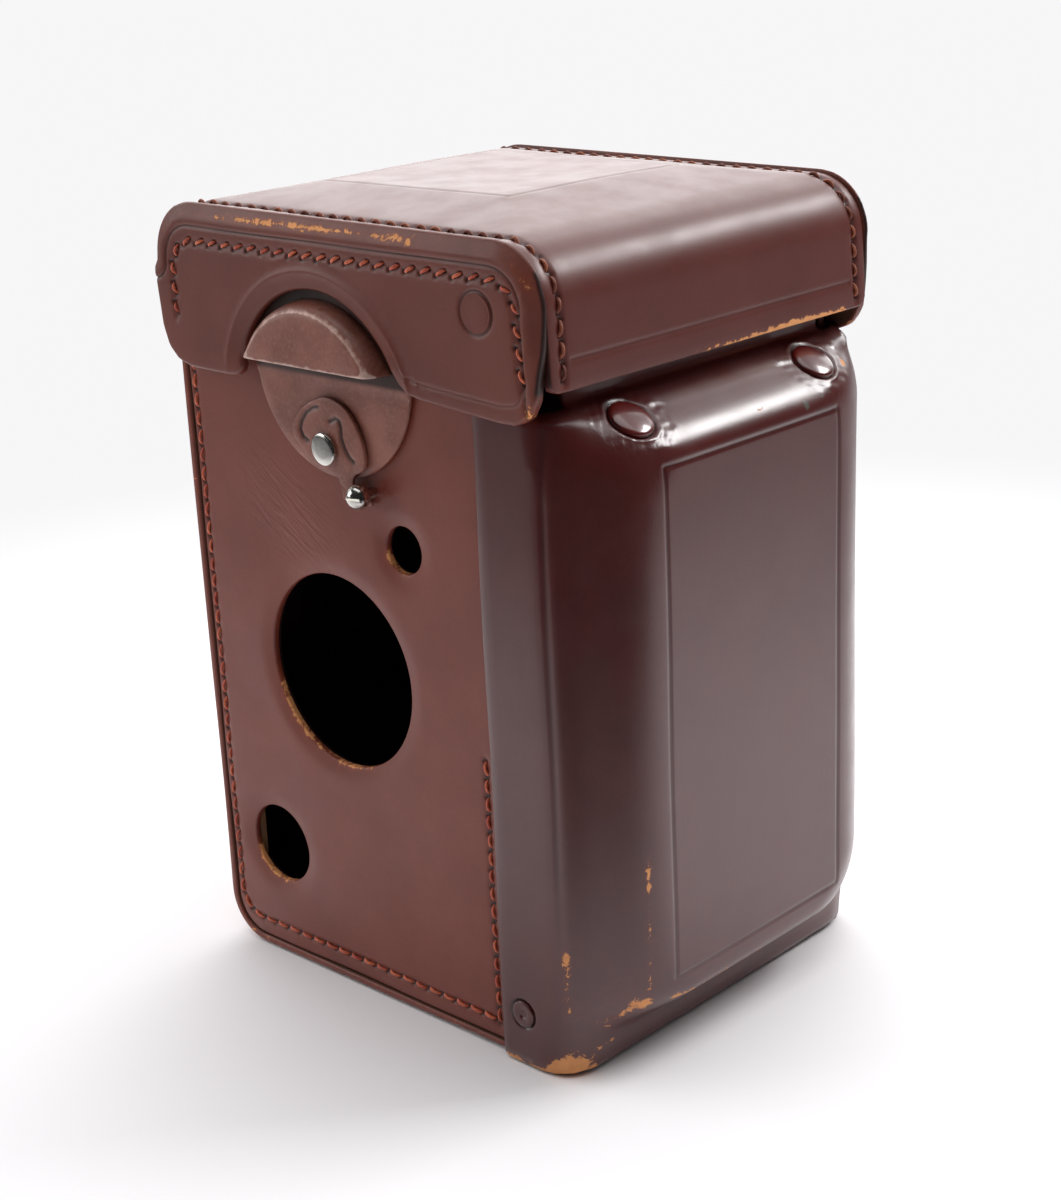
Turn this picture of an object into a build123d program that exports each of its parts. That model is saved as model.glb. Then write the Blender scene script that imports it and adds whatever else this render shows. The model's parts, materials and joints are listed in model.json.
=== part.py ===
"""Moulded leather ever-ready case for a twin lens reflex camera, as an assembly of separate pieces.

Millimetres. X runs across the case (the side with the knob holes is -X), -Y is the front, +Z is up.
The origin is the centre of the case's footprint, on the surface that the case stands on.
"""

import os

from build123d import *

os.makedirs("parts", exist_ok=True)

# ---- leather and clearances -------------------------------------------------------------
leather = 2.2            # side panels, wraps and flaps
flange_leather = 1.7     # the front cover's side flanges, skived thin
lining = 0.6             # velvet lining
gap = 0.1                # between pieces that lie on one another
SIDES = (("left", -1), ("right", 1))

# ---- body -------------------------------------------------------------------------------
panel_out = 42.9         # outer face of each side panel, from the middle
rear = 54.3              # outer face of the back
back_top = 130.6         # top edge of the back, just under the lid hinge
wrap_radius = 10.0       # lower rear corner of the wrap
panel_front = -39.5
panel_top = 137.0
panel_low = leather + gap
panel_rear = rear - leather - gap
bottom_front = -21.9     # the bottom stops here so that the front cover can swing
edge_front = -28.0       # the bottom's two side edges run on to the flanges
lip_half_width = 39.8    # the front cover's bottom lip passes between the side panels

focus_hole = (13.9, 68.3, 19.6)     # Y, Z and radius of the holes in the left panel
shutter_hole = (-6.2, 96.5, 4.6)
spool_hole = (36.6, 25.2, 8.3)

# ---- front cover ------------------------------------------------------------------------
flange_in = panel_out + 0.15
flange_out = flange_in + flange_leather
flange_rear = -27.7
flange_top = 124.6
face_front = -46.3
face_wall = 1.9
bulge_front = -55.2
bulge_low, bulge_high = 13.0, 119.5      # the flat of the bulge
bulge_half_width = 30.5
skirt_low, skirt_high = 8.0, 125.3       # where its sloping flanks start
skirt_half_width = 44.0
neck_half_width = 39.0
neck_front = -42.2
neck_top = 135.0
lip_rear = -35.35
cover_pivot = (-33.35, 11.2)             # Y, Z of the two rivets that it swings on
pivot_pin = 1.4

# ---- lid --------------------------------------------------------------------------------
flap_in = flange_out + 0.2
flap_out = flap_in + 2.35
lid_front = -47.7
lid_rear = rear
lid_shoulder = 156.2     # where roof and walls would meet, at the sides
lid_low = 131.4          # lower edge of the front and rear skirts
front_round, rear_round = 14.0, 11.5
roof_half_width = 23.2
roof_front, roof_rear = -18.7, 29.8
roof_top = 159.6
flap_low = 125.3
arch = (9.4, 121.65, 22.25)              # Y, Z and radius of the cut-out round the louvre

# ---- latch ------------------------------------------------------------------------------
plate_in = panel_out + 0.25
plate_thick = 1.0
plate_out = plate_in + plate_thick
plate_disc = (8.4, 129.4, 20.9)
louvre = (10.2, 121.8, 20.2)
louvre_low = 129.3
louvre_height = 5.0
louvre_wall = 0.8
lever_pivot = (9.7, 114.2)
lever_thick = 1.0
lever_in = plate_out + 0.3
lever_out = lever_in + lever_thick
lever_pin = 1.5
stud = (0.3, 106.75)
stud_neck, stud_ball, stud_reach = 1.1, 2.39, 3.6

# ---- hinge, screw, thread ---------------------------------------------------------------
band_thick = 0.8
band_half_width = 38.0
band_height = 13.0
hinge_z = 131.0
screw_y = 6.0
thread_width, channel_width = 0.7, 0.9
thread_depth, channel_depth = 0.45, 0.55

# ---- inside -----------------------------------------------------------------------------
lining_front = panel_front + 0.7
lining_low, lining_rear, lining_top = 10.0, 44.7, panel_top - 1.0
fixing_clearance = 4.0                   # radius of the lining's holes round rivets and studs
back_lining_half_width = 38.9
welt_thick, welt_width, welt_top = 1.4, 7.0, 124.0
head_opening = 9.0                       # radius of the bottom's hole round the camera screw's head
bush_radius, bush_flange_radius, bush_flange_thick = 5.0, 11.0, 0.8
board_low = leather + gap + bush_flange_thick + gap
board_thick = 1.9
board_high = board_low + board_thick
board_centre, board_across, board_deep = 12.5, 76.0, 66.0

# ---- rivets and screw -------------------------------------------------------------------
rivet_reach = 1.6                        # how far the front hinge rivets go past the side panels
hinge_head, hinge_tail, hinge_dimple = 2.6, 2.4, 0.7
dome_head, dome_shank, dome_burr = 4.4, 1.5, 2.6
corner_rivet = (-32.9, 144.2)            # Y, Z
corner_head = 3.4
plate_rivet_spots = ((-6.0, 144.6), (22.8, 144.6))
plate_shank = 1.2
screw_head, screw_head_thick, screw_low = 8.4, 1.8, 0.3
screw_thread, screw_neck = 3.1, 2.5


def write(piece, name):
    """Labels a finished piece and writes it as parts/NAME.step."""
    piece.part.label = name
    export_step(piece.part, f"parts/{name}.step")


def side_plane(side, distance):
    """The plane across the case at a distance from its middle: sketch X is row Y, sketch Y is row Z."""
    return Plane.YZ.offset(side * distance)


def disc(centre, radius, low=None):
    """A filled circle; what lies below low is left out."""
    with BuildSketch() as shape:
        with Locations(centre):
            Circle(radius)
        if low is not None:
            with Locations((centre[0], low)):
                Rectangle(4 * radius, 4 * radius, align=(Align.CENTER, Align.MAX), mode=Mode.SUBTRACT)
    return shape.sketch


def panel_outline(front, low, back, top, corner):
    """Side view of a panel with a round lower rear corner."""
    points = [(front, low), (back, low), (back, top), (front, top)]
    with BuildSketch() as shape:
        with BuildLine():
            FilletPolyline(*points, radius=(3.0, corner, 1.0, 5.0), close=True)
        make_face()
    return shape.sketch


def lid_section(inset, low):
    """Side view of the lid, filled, with its walls and top moved in by inset."""
    top = lid_shoulder - inset
    points = [
        (lid_front + inset, low),
        (lid_rear - inset, low),
        (lid_rear - inset, top),
        (lid_front + inset, top),
    ]
    with BuildSketch() as shape:
        with BuildLine():
            FilletPolyline(*points, radius=(0, 0, rear_round - inset, front_round - inset), close=True)
        make_face()
    return shape.sketch


def flap_outline():
    """Side view of a lid flap: it follows the lid's section, hangs lower, and is cut away round the louvre."""
    rim = 0.5
    points = [
        (-44.9, flap_low),
        (52.6, flap_low),
        (lid_rear + rim - 1.0, 140.0),
        (lid_rear + rim, lid_shoulder + rim),
        (lid_front - rim, lid_shoulder + rim),
        (lid_front - rim, 141.0),
    ]
    radii = (5.0, 7.0, 0, rear_round, front_round, 0)
    with BuildSketch() as shape:
        with BuildLine():
            FilletPolyline(*points, radius=radii, close=True)
        make_face()
        with Locations(arch[:2]):
            Circle(arch[2], mode=Mode.SUBTRACT)
        lower_corners = shape.vertices().group_by(Axis.Y)[0]
        inner_corners = [v for v in lower_corners if abs(v.X - arch[0]) < arch[2] + 1.0]
        fillet(inner_corners, 2.5)
    return shape.sketch


def seam(width, lines):
    """A sewn line, or the channel that it lies in: each open line drawn with a width."""
    with BuildSketch() as shape:
        for points, radius in lines:
            with BuildLine() as path:
                if radius:
                    FilletPolyline(*points, radius=radius)
                else:
                    Line(*points)
            trace(path.line, line_width=width)
    return shape.sketch


BODY_SEAM = (
    [((50.0, 124.0), (50.0, 6.4), (-23.4, 6.4)), 6.0],
    [((-24.8, 58.0), (-24.8, 8.4)), 0],
)
FLAP_SEAM = (
    [((48.2, 135.0), (48.2, 150.2), (-41.4, 150.2), (-42.6, 133.0)), 6.5],
)


def round_pin(plane, parts):
    """A turned piece along a plane's normal, as (radius, start, end) stretches."""
    with BuildPart() as turned:
        for radius, start, end in parts:
            with BuildSketch(plane.offset(start)):
                Circle(radius)
            extrude(amount=end - start)
    return turned.part


def outward(side, centre, distance):
    """A plane facing away from the middle of the case, at a point (Y, Z)."""
    return Plane(origin=(side * distance, *centre), x_dir=(0, side, 0), z_dir=(side, 0, 0))


# ========================================================================================
# Case body
# ========================================================================================
for name, side in SIDES:
    with BuildPart() as side_panel:
        with BuildSketch(side_plane(side, panel_out)):
            add(panel_outline(panel_front, panel_low, panel_rear, panel_top, wrap_radius - panel_low))
            with Locations(cover_pivot):
                Circle(pivot_pin + 0.05, mode=Mode.SUBTRACT)
            with Locations(stud):
                Circle(stud_neck + 0.05, mode=Mode.SUBTRACT)
            if name == "left":
                for y, z, radius in (focus_hole, shutter_hole, spool_hole):
                    with Locations((y, z)):
                        Circle(radius, mode=Mode.SUBTRACT)
        extrude(amount=-side * leather)
        with BuildSketch(side_plane(side, panel_out)):
            add(seam(channel_width, BODY_SEAM))
        extrude(amount=-side * channel_depth, mode=Mode.SUBTRACT)
    write(side_panel, f"side_panel_{name}")

    with BuildPart() as side_thread:
        with BuildSketch(side_plane(side, panel_out - channel_depth + 0.02)):
            add(seam(thread_width, BODY_SEAM))
        extrude(amount=side * thread_depth)
    write(side_thread, f"side_thread_{name}")

    # A strip of leather inside the seam, which the stitches pass through.
    welt_out = panel_out - leather - gap
    with BuildPart() as seam_welt:
        inner_low = panel_low + welt_width
        inner_rear = panel_rear - welt_width
        with BuildSketch(side_plane(side, welt_out)):
            add(panel_outline(bottom_front + 0.3, panel_low + gap, panel_rear - gap, welt_top, 7.6))
            add(panel_outline(bottom_front - 9.0, inner_low, inner_rear, welt_top + 6.0, 4.0), mode=Mode.SUBTRACT)
        extrude(amount=-side * welt_thick)
    write(seam_welt, f"seam_welt_{name}")

    with BuildPart() as side_lining:
        with BuildSketch(side_plane(side, welt_out)):
            add(panel_outline(lining_front, lining_low, lining_rear, lining_top, 3.0))
            with Locations(cover_pivot, stud):
                Circle(fixing_clearance, mode=Mode.SUBTRACT)
            if name == "left":
                for y, z, radius in (focus_hole, shutter_hole, spool_hole):
                    with Locations((y, z)):
                        Circle(radius + 0.3, mode=Mode.SUBTRACT)
        extrude(amount=-side * lining)
    write(side_lining, f"side_lining_{name}")

# The back and the bottom are one length of leather, bent round the lower rear corner.
strip_in = lip_half_width + 0.2
with BuildPart() as back_bottom_wrap:
    with BuildSketch(Plane.YZ):
        with BuildLine():
            FilletPolyline(
                (rear, back_top),
                (rear, 0),
                (bottom_front, 0),
                (bottom_front, leather),
                (rear - leather, leather),
                (rear - leather, back_top),
                radius=(0, wrap_radius, 0, 0, wrap_radius - leather, 0),
                close=True,
            )
        make_face()
    extrude(amount=panel_out, both=True)
    with BuildSketch(Plane.XY):
        for side in (-1, 1):
            with Locations((side * (strip_in + panel_out) / 2, (edge_front + bottom_front) / 2)):
                Rectangle(panel_out - strip_in, bottom_front - edge_front)
    extrude(amount=leather)
    with BuildSketch(Plane.XY):
        with Locations((0, screw_y)):
            Circle(head_opening)
    extrude(amount=leather, mode=Mode.SUBTRACT)
write(back_bottom_wrap, "back_bottom_wrap")

with BuildPart() as back_lining:
    with BuildSketch(Plane.YZ):
        with BuildLine():
            FilletPolyline(
                (panel_rear, back_top),
                (panel_rear, panel_low),
                (bottom_front + 0.3, panel_low),
                (bottom_front + 0.3, panel_low + lining),
                (panel_rear - lining, panel_low + lining),
                (panel_rear - lining, back_top),
                radius=(0, wrap_radius - panel_low, 0, 0, wrap_radius - panel_low - lining, 0),
                close=True,
            )
        make_face()
    extrude(amount=back_lining_half_width, both=True)
    with BuildSketch(Plane.XY):
        with Locations((0, screw_y)):
            Circle(bush_flange_radius + 0.3)
    extrude(amount=6.0, mode=Mode.SUBTRACT)
write(back_lining, "back_lining")

# A leather-board stiffener that the camera stands on.
with BuildPart() as base_board:
    with BuildSketch(Plane.XY.offset(board_low)):
        with Locations((0, board_centre)):
            RectangleRounded(board_across, board_deep, 4.0)
        with Locations((0, screw_y)):
            Circle(bush_radius + 0.2, mode=Mode.SUBTRACT)
    extrude(amount=board_thick)
write(base_board, "base_board")

bottom = Plane(origin=(0, screw_y, 0))
with BuildPart() as screw_bush:
    flange_stretch = (bush_flange_radius, panel_low, panel_low + bush_flange_thick)
    tube_stretch = (bush_radius, panel_low, board_high + 0.2)
    add(round_pin(bottom, (flange_stretch, tube_stretch)))
    add(round_pin(bottom, ((screw_thread - 0.15, 0, 20.0),)), mode=Mode.SUBTRACT)
write(screw_bush, "screw_bush")

# Ball-headed studs that the latch levers catch, with a driver slot, and the nuts inside.
with BuildPart() as latch_studs:
    for name, side in SIDES:
        add(round_pin(outward(side, stud, 0), ((stud_neck, panel_out - 5.2, panel_out + stud_reach),)))
        with Locations((side * (panel_out + stud_reach), *stud)):
            Sphere(stud_ball)
        with Locations((side * (panel_out + stud_reach + stud_ball), *stud)):
            Box(1.8, 6.0, 0.55, mode=Mode.SUBTRACT)
write(latch_studs, "latch_studs")

with BuildPart() as stud_nuts:
    for name, side in SIDES:
        with BuildSketch(outward(side, stud, panel_out - 4.6)):
            RegularPolygon(3.2, 6)
            Circle(stud_neck + 0.05, mode=Mode.SUBTRACT)
        extrude(amount=2.2)
write(stud_nuts, "stud_nuts")

with BuildPart() as front_hinge_rivets:
    for name, side in SIDES:
        head = flange_out + gap
        pin = outward(side, cover_pivot, 0)
        inner_end = panel_out - leather - rivet_reach
        stretches = (
            (pivot_pin, inner_end, head),
            (hinge_head, head, head + 0.7),
            (hinge_tail, inner_end, inner_end + 0.8),
        )
        add(round_pin(pin, stretches))
        add(round_pin(pin, ((hinge_dimple, head + 0.35, head + 2.0),)), mode=Mode.SUBTRACT)
write(front_hinge_rivets, "front_hinge_rivets")

with BuildPart() as front_hinge_washers:
    for name, side in SIDES:
        with BuildSketch(outward(side, cover_pivot, panel_out - leather - 0.7)):
            Circle(3.4)
            Circle(pivot_pin + 0.05, mode=Mode.SUBTRACT)
        extrude(amount=0.6)
write(front_hinge_washers, "front_hinge_washers")


band_face = Plane.XZ.offset(-(rear + 0.05 + band_thick))
band_seam_length = 2 * band_half_width - 6.0


def hinge_leaf(low, high, seam_at):
    """One half of the leather hinge band, and the thread that sews it on."""
    with BuildPart() as leaf:
        with BuildSketch(band_face):
            with Locations((0, (low + high) / 2)):
                Rectangle(2 * band_half_width, high - low)
        extrude(amount=band_thick)
        with BuildSketch(band_face):
            with Locations((0, seam_at)):
                Rectangle(band_seam_length, channel_width)
        extrude(amount=thread_depth + 0.05, mode=Mode.SUBTRACT)
    with BuildPart() as thread:
        with BuildSketch(band_face):
            with Locations((0, seam_at)):
                Rectangle(band_seam_length - 0.2, thread_width)
        extrude(amount=thread_depth)
    return leaf, thread


leaf_gap = 0.6                           # from the hinge line to each leaf
seam_in = band_height - 3.0
lower_leaf, lower_thread = hinge_leaf(hinge_z - band_height, hinge_z - leaf_gap, hinge_z - seam_in)
write(lower_leaf, "hinge_band_lower")
write(lower_thread, "hinge_thread_lower")
upper_leaf, upper_thread = hinge_leaf(hinge_z + leaf_gap, hinge_z + band_height, hinge_z + seam_in)
write(upper_leaf, "hinge_band_upper")
write(upper_thread, "hinge_thread_upper")

# ========================================================================================
# Camera screw
# ========================================================================================
tip_low = board_high + 1.1
tip_high = tip_low + 4.0
screw_body = screw_thread - 0.2
with BuildPart() as camera_screw:
    # The head has a milled rim and a slot for a coin.
    with BuildSketch(bottom.offset(screw_low)):
        Circle(screw_head)
        with PolarLocations(screw_head, 36):
            Circle(0.28, mode=Mode.SUBTRACT)
    extrude(amount=screw_head_thick)
    with BuildSketch(bottom.offset(screw_low)):
        Rectangle(13.0, 1.6)
    extrude(amount=screw_head_thick / 2, mode=Mode.SUBTRACT)
    add(round_pin(bottom, ((screw_body, 2.0, tip_low), (screw_thread, tip_low, tip_high))))
    # The groove for the ring that keeps it in its bush.
    with BuildSketch(bottom.offset(board_high + 0.35)):
        Circle(4.0)
        Circle(screw_neck, mode=Mode.SUBTRACT)
    extrude(amount=0.6, mode=Mode.SUBTRACT)
    top_rim = camera_screw.edges().group_by(Axis.Z)[-1]
    chamfer(top_rim, 0.5)
write(camera_screw, "camera_screw")

with BuildPart() as screw_ring:
    with BuildSketch(bottom.offset(board_high + 0.4)):
        Circle(4.2)
        Circle(screw_neck + 0.05, mode=Mode.SUBTRACT)
        with Locations((4.0, 0)):
            Rectangle(4.0, 1.6, mode=Mode.SUBTRACT)
    extrude(amount=0.5)
write(screw_ring, "screw_ring")

# ========================================================================================
# Front cover
# ========================================================================================
flank_run = face_front - bulge_front
flank_angle = 33.1                       # the bulge's top flank, above the horizontal
dome_spots = (-26.3, 26.3)
dome_plane = Plane(
    origin=(0, -48.4, 123.85),
    x_dir=(1, 0, 0),
    z_dir=Vector(0, 0, 1).rotate(Axis.X, flank_angle),
)


def bulge(inset):
    """The moulded bulge as a solid, with its wall moved in by inset."""
    base = face_front + inset
    with BuildPart() as solid:
        with BuildSketch(Plane.XZ.offset(-base)):
            with Locations((0, (skirt_low + skirt_high) / 2)):
                RectangleRounded(2 * (skirt_half_width - inset), skirt_high - skirt_low - 2 * inset, 10.0 - inset)
        with BuildSketch(Plane.XZ.offset(-(bulge_front + inset))):
            with Locations((0, (bulge_low + bulge_high) / 2)):
                RectangleRounded(2 * (bulge_half_width - inset / 2), bulge_high - bulge_low - inset, 7.0 - inset)
        loft()
        flat_rim = solid.faces().sort_by(Axis.Y)[0].edges()
        fillet(flat_rim, 6.0 - inset)
    return solid.part


with BuildPart() as front_cover:
    with BuildSketch(Plane.XY):
        with Locations((0, (flange_rear + face_front) / 2)):
            Rectangle(2 * flange_out, flange_rear - face_front)
    extrude(amount=flange_top)
    front_uprights = front_cover.edges().filter_by(Axis.Z).group_by(Axis.Y)[0]
    fillet(front_uprights, 3.0)
    front_low_edges = front_cover.faces().sort_by(Axis.Z)[0].edges().filter_by(Axis.X).sort_by(Axis.Y)[0]
    fillet(front_low_edges, 2.6)
    add(bulge(0))
    with BuildSketch(Plane.YZ):
        with BuildLine():
            Polyline(
                (neck_front + face_wall, neck_top),
                (neck_front, neck_top),
                (neck_front, 127.6),
                (face_front - 0.3, skirt_high - 0.1),
                (face_front - 0.3, 110.0),
                (neck_front + face_wall, 110.0),
                close=True,
            )
        make_face()
    extrude(amount=neck_half_width, both=True)
    # Hollow it out from behind.
    with BuildSketch(Plane.XY.offset(2.0)):
        with Locations((0, (face_front + face_wall) / 2)):
            Rectangle(2 * flange_in, -(face_front + face_wall))
    extrude(amount=120.9, mode=Mode.SUBTRACT)
    with BuildSketch(Plane.XY.offset(122.0)):
        Rectangle(2 * flange_in, -2 * (neck_front + face_wall))
    extrude(amount=20.0, mode=Mode.SUBTRACT)
    add(bulge(face_wall), mode=Mode.SUBTRACT)
    # Room for the body's bottom behind the lip, and for the side panels at its two ends.
    with BuildSketch(Plane.XY.offset(-1.0)):
        with Locations((0, lip_rear)):
            Rectangle(2 * flange_in, 30.0, align=(Align.CENTER, Align.MIN))
        for side in (-1, 1):
            with Locations((side * (lip_half_width + flange_in) / 2, face_front + face_wall)):
                Rectangle(flange_in - lip_half_width, 30.0, align=(Align.CENTER, Align.MIN))
    extrude(amount=4.0, mode=Mode.SUBTRACT)
    # Rivet holes.
    with BuildSketch(Plane.YZ):
        with Locations(cover_pivot):
            Circle(pivot_pin + 0.06)
    extrude(amount=60.0, both=True, mode=Mode.SUBTRACT)
    with Locations(dome_plane):
        with Locations((dome_spots[0], 0, 0), (dome_spots[1], 0, 0)):
            Cylinder(1.6, 12.0, mode=Mode.SUBTRACT)
write(front_cover, "front_cover")

with BuildPart() as front_cover_lining:
    with BuildSketch(Plane.XZ.offset(-(bulge_front + face_wall + 0.3 + lining))):
        with Locations((0, (bulge_low + bulge_high) / 2)):
            RectangleRounded(48.0, 92.0, 3.0)
    extrude(amount=lining)
write(front_cover_lining, "front_cover_lining")

stiffener_top = -3.4
stiffener_thick = 1.2
with BuildPart() as shoulder_stiffener:
    with BuildSketch(dome_plane.offset(stiffener_top - stiffener_thick)):
        RectangleRounded(64.0, 5.4, 1.5)
        with Locations((dome_spots[0], 0), (dome_spots[1], 0)):
            Circle(dome_shank + 0.05, mode=Mode.SUBTRACT)
    extrude(amount=stiffener_thick)
write(shoulder_stiffener, "shoulder_stiffener")

burr_top = stiffener_top - stiffener_thick - gap
with BuildPart() as dome_rivets:
    for x in dome_spots:
        spot = Plane(origin=dome_plane.from_local_coords((x, 0, 0)), x_dir=(1, 0, 0), z_dir=dome_plane.z_dir)
        add(round_pin(spot, ((dome_shank, burr_top - 1.0, 0.5), (dome_head, 0.25, 1.5))))
    head_tops = dome_rivets.faces().sort_by(Axis((0, 0, 0), dome_plane.z_dir))[-2:]
    fillet(head_tops.edges(), 1.1)
write(dome_rivets, "dome_rivets")

with BuildPart() as dome_rivet_burrs:
    with BuildSketch(dome_plane.offset(burr_top - 0.8)):
        with Locations((dome_spots[0], 0), (dome_spots[1], 0)):
            Circle(dome_burr)
            Circle(dome_shank + 0.05, mode=Mode.SUBTRACT)
    extrude(amount=0.8)
write(dome_rivet_burrs, "dome_rivet_burrs")

# ========================================================================================
# Lid
# ========================================================================================
lid_half_width = flap_in - gap


def roof(drop):
    """The low hipped roof above the lid's shoulder, lowered by drop."""
    with BuildPart() as solid:
        low = lid_shoulder - drop - 0.5
        with BuildSketch(Plane.XY.offset(low)):
            with Locations((0, (lid_front + lid_rear) / 2)):
                Rectangle(2 * lid_half_width - 6.0, lid_rear - lid_front - 24.0)
        with BuildSketch(Plane.XY.offset(roof_top - drop)):
            with Locations((0, (roof_front + roof_rear) / 2)):
                Rectangle(2 * roof_half_width, roof_rear - roof_front)
        loft()
    return solid.part


with BuildPart() as lid_wrap:
    with BuildSketch(Plane.YZ):
        add(lid_section(0, lid_low))
    extrude(amount=lid_half_width, both=True)
    add(roof(0))
    with BuildSketch(Plane.YZ):
        add(lid_section(leather, lid_low - 5.0))
    extrude(amount=lid_half_width + 1.0, both=True, mode=Mode.SUBTRACT)
    add(roof(leather), mode=Mode.SUBTRACT)
    for side in (-1, 1):
        with BuildSketch(side_plane(side, 41.2)):
            add(lid_section(-1.0, lid_low + 3.0))
            add(lid_section(channel_depth, lid_low + 2.0), mode=Mode.SUBTRACT)
        extrude(amount=side * channel_width, mode=Mode.SUBTRACT)
write(lid_wrap, "lid_wrap")

with BuildPart() as lid_lining:
    with BuildSketch(Plane.YZ):
        add(lid_section(leather + gap, lid_low + 1.0))
        add(lid_section(leather + gap + lining, lid_low - 1.0), mode=Mode.SUBTRACT)
    extrude(amount=panel_out - leather - 0.3, both=True)
write(lid_lining, "lid_lining")

for name, side in SIDES:
    with BuildPart() as lid_flap:
        with BuildSketch(side_plane(side, flap_in)):
            add(flap_outline())
        extrude(amount=side * (flap_out - flap_in))
        with BuildSketch(side_plane(side, flap_out)):
            add(seam(channel_width, FLAP_SEAM))
            with Locations(corner_rivet):
                Circle(corner_head + 0.1)
        extrude(amount=-side * channel_depth, mode=Mode.SUBTRACT)
        with BuildSketch(side_plane(side, flap_in)):
            with Locations(*plate_rivet_spots):
                Circle(plate_shank + 0.1)
        extrude(amount=side * (plate_shank + 0.1), mode=Mode.SUBTRACT)
        with BuildSketch(side_plane(side, flap_in)):
            with Locations(corner_rivet):
                Circle(plate_shank + 0.1)
        extrude(amount=side * 4.0, mode=Mode.SUBTRACT)
    write(lid_flap, f"lid_flap_{name}")

    with BuildPart() as lid_thread:
        with BuildSketch(side_plane(side, flap_out - channel_depth + 0.02)):
            add(seam(thread_width, FLAP_SEAM))
        extrude(amount=side * thread_depth)
        with BuildSketch(side_plane(side, 41.3)):
            add(lid_section(channel_depth - 0.02 - thread_depth, lid_low + 3.2))
            add(lid_section(channel_depth - 0.02, lid_low + 2.0), mode=Mode.SUBTRACT)
        extrude(amount=side * thread_width)
    write(lid_thread, f"lid_thread_{name}")

    # Pressed latch plate: a disc with a half-round louvre standing out of it.
    with BuildPart() as latch_plate:
        with BuildSketch(side_plane(side, plate_in)):
            add(disc(plate_disc[:2], plate_disc[2]))
        extrude(amount=side * plate_thick)
        with BuildSketch(outward(side, (0, 0), plate_in)):
            add(disc((side * louvre[0], louvre[1]), louvre[2], louvre_low))
        extrude(amount=plate_thick + louvre_height, taper=9.0)
        with BuildSketch(outward(side, (0, 0), plate_out)):
            add(disc((side * louvre[0], louvre[1]), louvre[2] - louvre_wall, louvre_low - 2.0))
        extrude(amount=louvre_height - louvre_wall, taper=9.0, mode=Mode.SUBTRACT)
        with BuildSketch(side_plane(side, plate_in)):
            with Locations(*plate_rivet_spots):
                Circle(plate_shank + 0.1)
            with Locations(lever_pivot):
                Circle(lever_pin + 0.05)
        extrude(amount=side * plate_thick, mode=Mode.SUBTRACT)
    write(latch_plate, f"latch_plate_{name}")

with BuildPart() as plate_rivets:
    for name, side in SIDES:
        for spot in plate_rivet_spots:
            shank = (plate_shank, plate_in, flap_in + 1.2)
            collar = (2.2, plate_out + gap, flap_in - gap)
            add(round_pin(outward(side, spot, 0), (shank, collar)))
write(plate_rivets, "plate_rivets")

with BuildPart() as corner_rivets:
    for name, side in SIDES:
        stretches = ((corner_head, flap_out - 0.5, flap_out), (plate_shank, flap_in - gap, flap_out - 0.3))
        add(round_pin(outward(side, corner_rivet, 0), stretches))
write(corner_rivets, "corner_rivets")

with BuildPart() as lever_rivets:
    for name, side in SIDES:
        stretches = (
            (lever_pin, plate_in, lever_out + 0.3),
            (3.1, lever_out + 0.1, lever_out + 0.9),
        )
        add(round_pin(outward(side, lever_pivot, 0), stretches))
write(lever_rivets, "lever_rivets")

with BuildPart() as lever_washers:
    for name, side in SIDES:
        with BuildSketch(outward(side, lever_pivot, plate_out + 0.05)):
            Circle(3.4)
            Circle(lever_pin + 0.1, mode=Mode.SUBTRACT)
        extrude(amount=0.2)
write(lever_washers, "lever_washers")

# ========================================================================================
# Latch levers: a pad to push, and a tail whose hook holds the stud from below
# ========================================================================================
for name, side in SIDES:
    with BuildPart() as latch_lever:
        with BuildSketch(side_plane(side, lever_in)):
            with Locations((9.3, 116.3)):
                Ellipse(9.8, 7.5)
            with BuildLine():
                FilletPolyline(
                    (8.6, 112.0),
                    (7.6, 108.9),
                    (6.6, 107.4),
                    (3.6, 106.3),
                    (2.9, 108.8),
                    (1.6, 112.0),
                    radius=(0, 1.0, 0.8, 0.6, 1.0, 0),
                    close=True,
                )
            make_face()
            with Locations(lever_pivot):
                Circle(lever_pin + 0.05, mode=Mode.SUBTRACT)
        extrude(amount=side * lever_thick)
        # The tail steps in towards the panel, then forwards under the stud's neck.
        with BuildSketch(side_plane(side, panel_out + 0.4)):
            with BuildLine():
                Polyline((6.4, 107.0), (3.5, 105.9), (3.9, 104.3), (6.3, 104.3), close=True)
            make_face()
            with BuildLine():
                Polyline((4.2, 105.5), (-0.4, 105.5), (-0.4, 104.3), (4.2, 104.3), close=True)
            make_face()
        extrude(amount=side * 0.7)
        with BuildSketch(side_plane(side, panel_out + 0.4)):
            with BuildLine():
                Polyline((6.4, 107.3), (3.6, 106.4), (3.6, 105.0), (6.3, 105.0), close=True)
            make_face()
        extrude(amount=side * (lever_out - panel_out - 0.4))
    write(latch_lever, f"latch_lever_{name}")
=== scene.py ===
"""Looks of a moulded leather ever-ready case, built round its CAD frame.

Shapes are worked out in millimetres in the frame's axes (X across, -Y front, Z up) and become metres in
build(). Every leather piece is a sheet: a flat outline, a surface that it is laid on, a relief pressed into
it and a rounded edge. Wear, stains and painted shade are written on the sheet's points as marks, which
the materials read.
"""

import json
import math

import bmesh
import bpy
import numpy as np
from mathutils import Matrix, Vector

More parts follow.
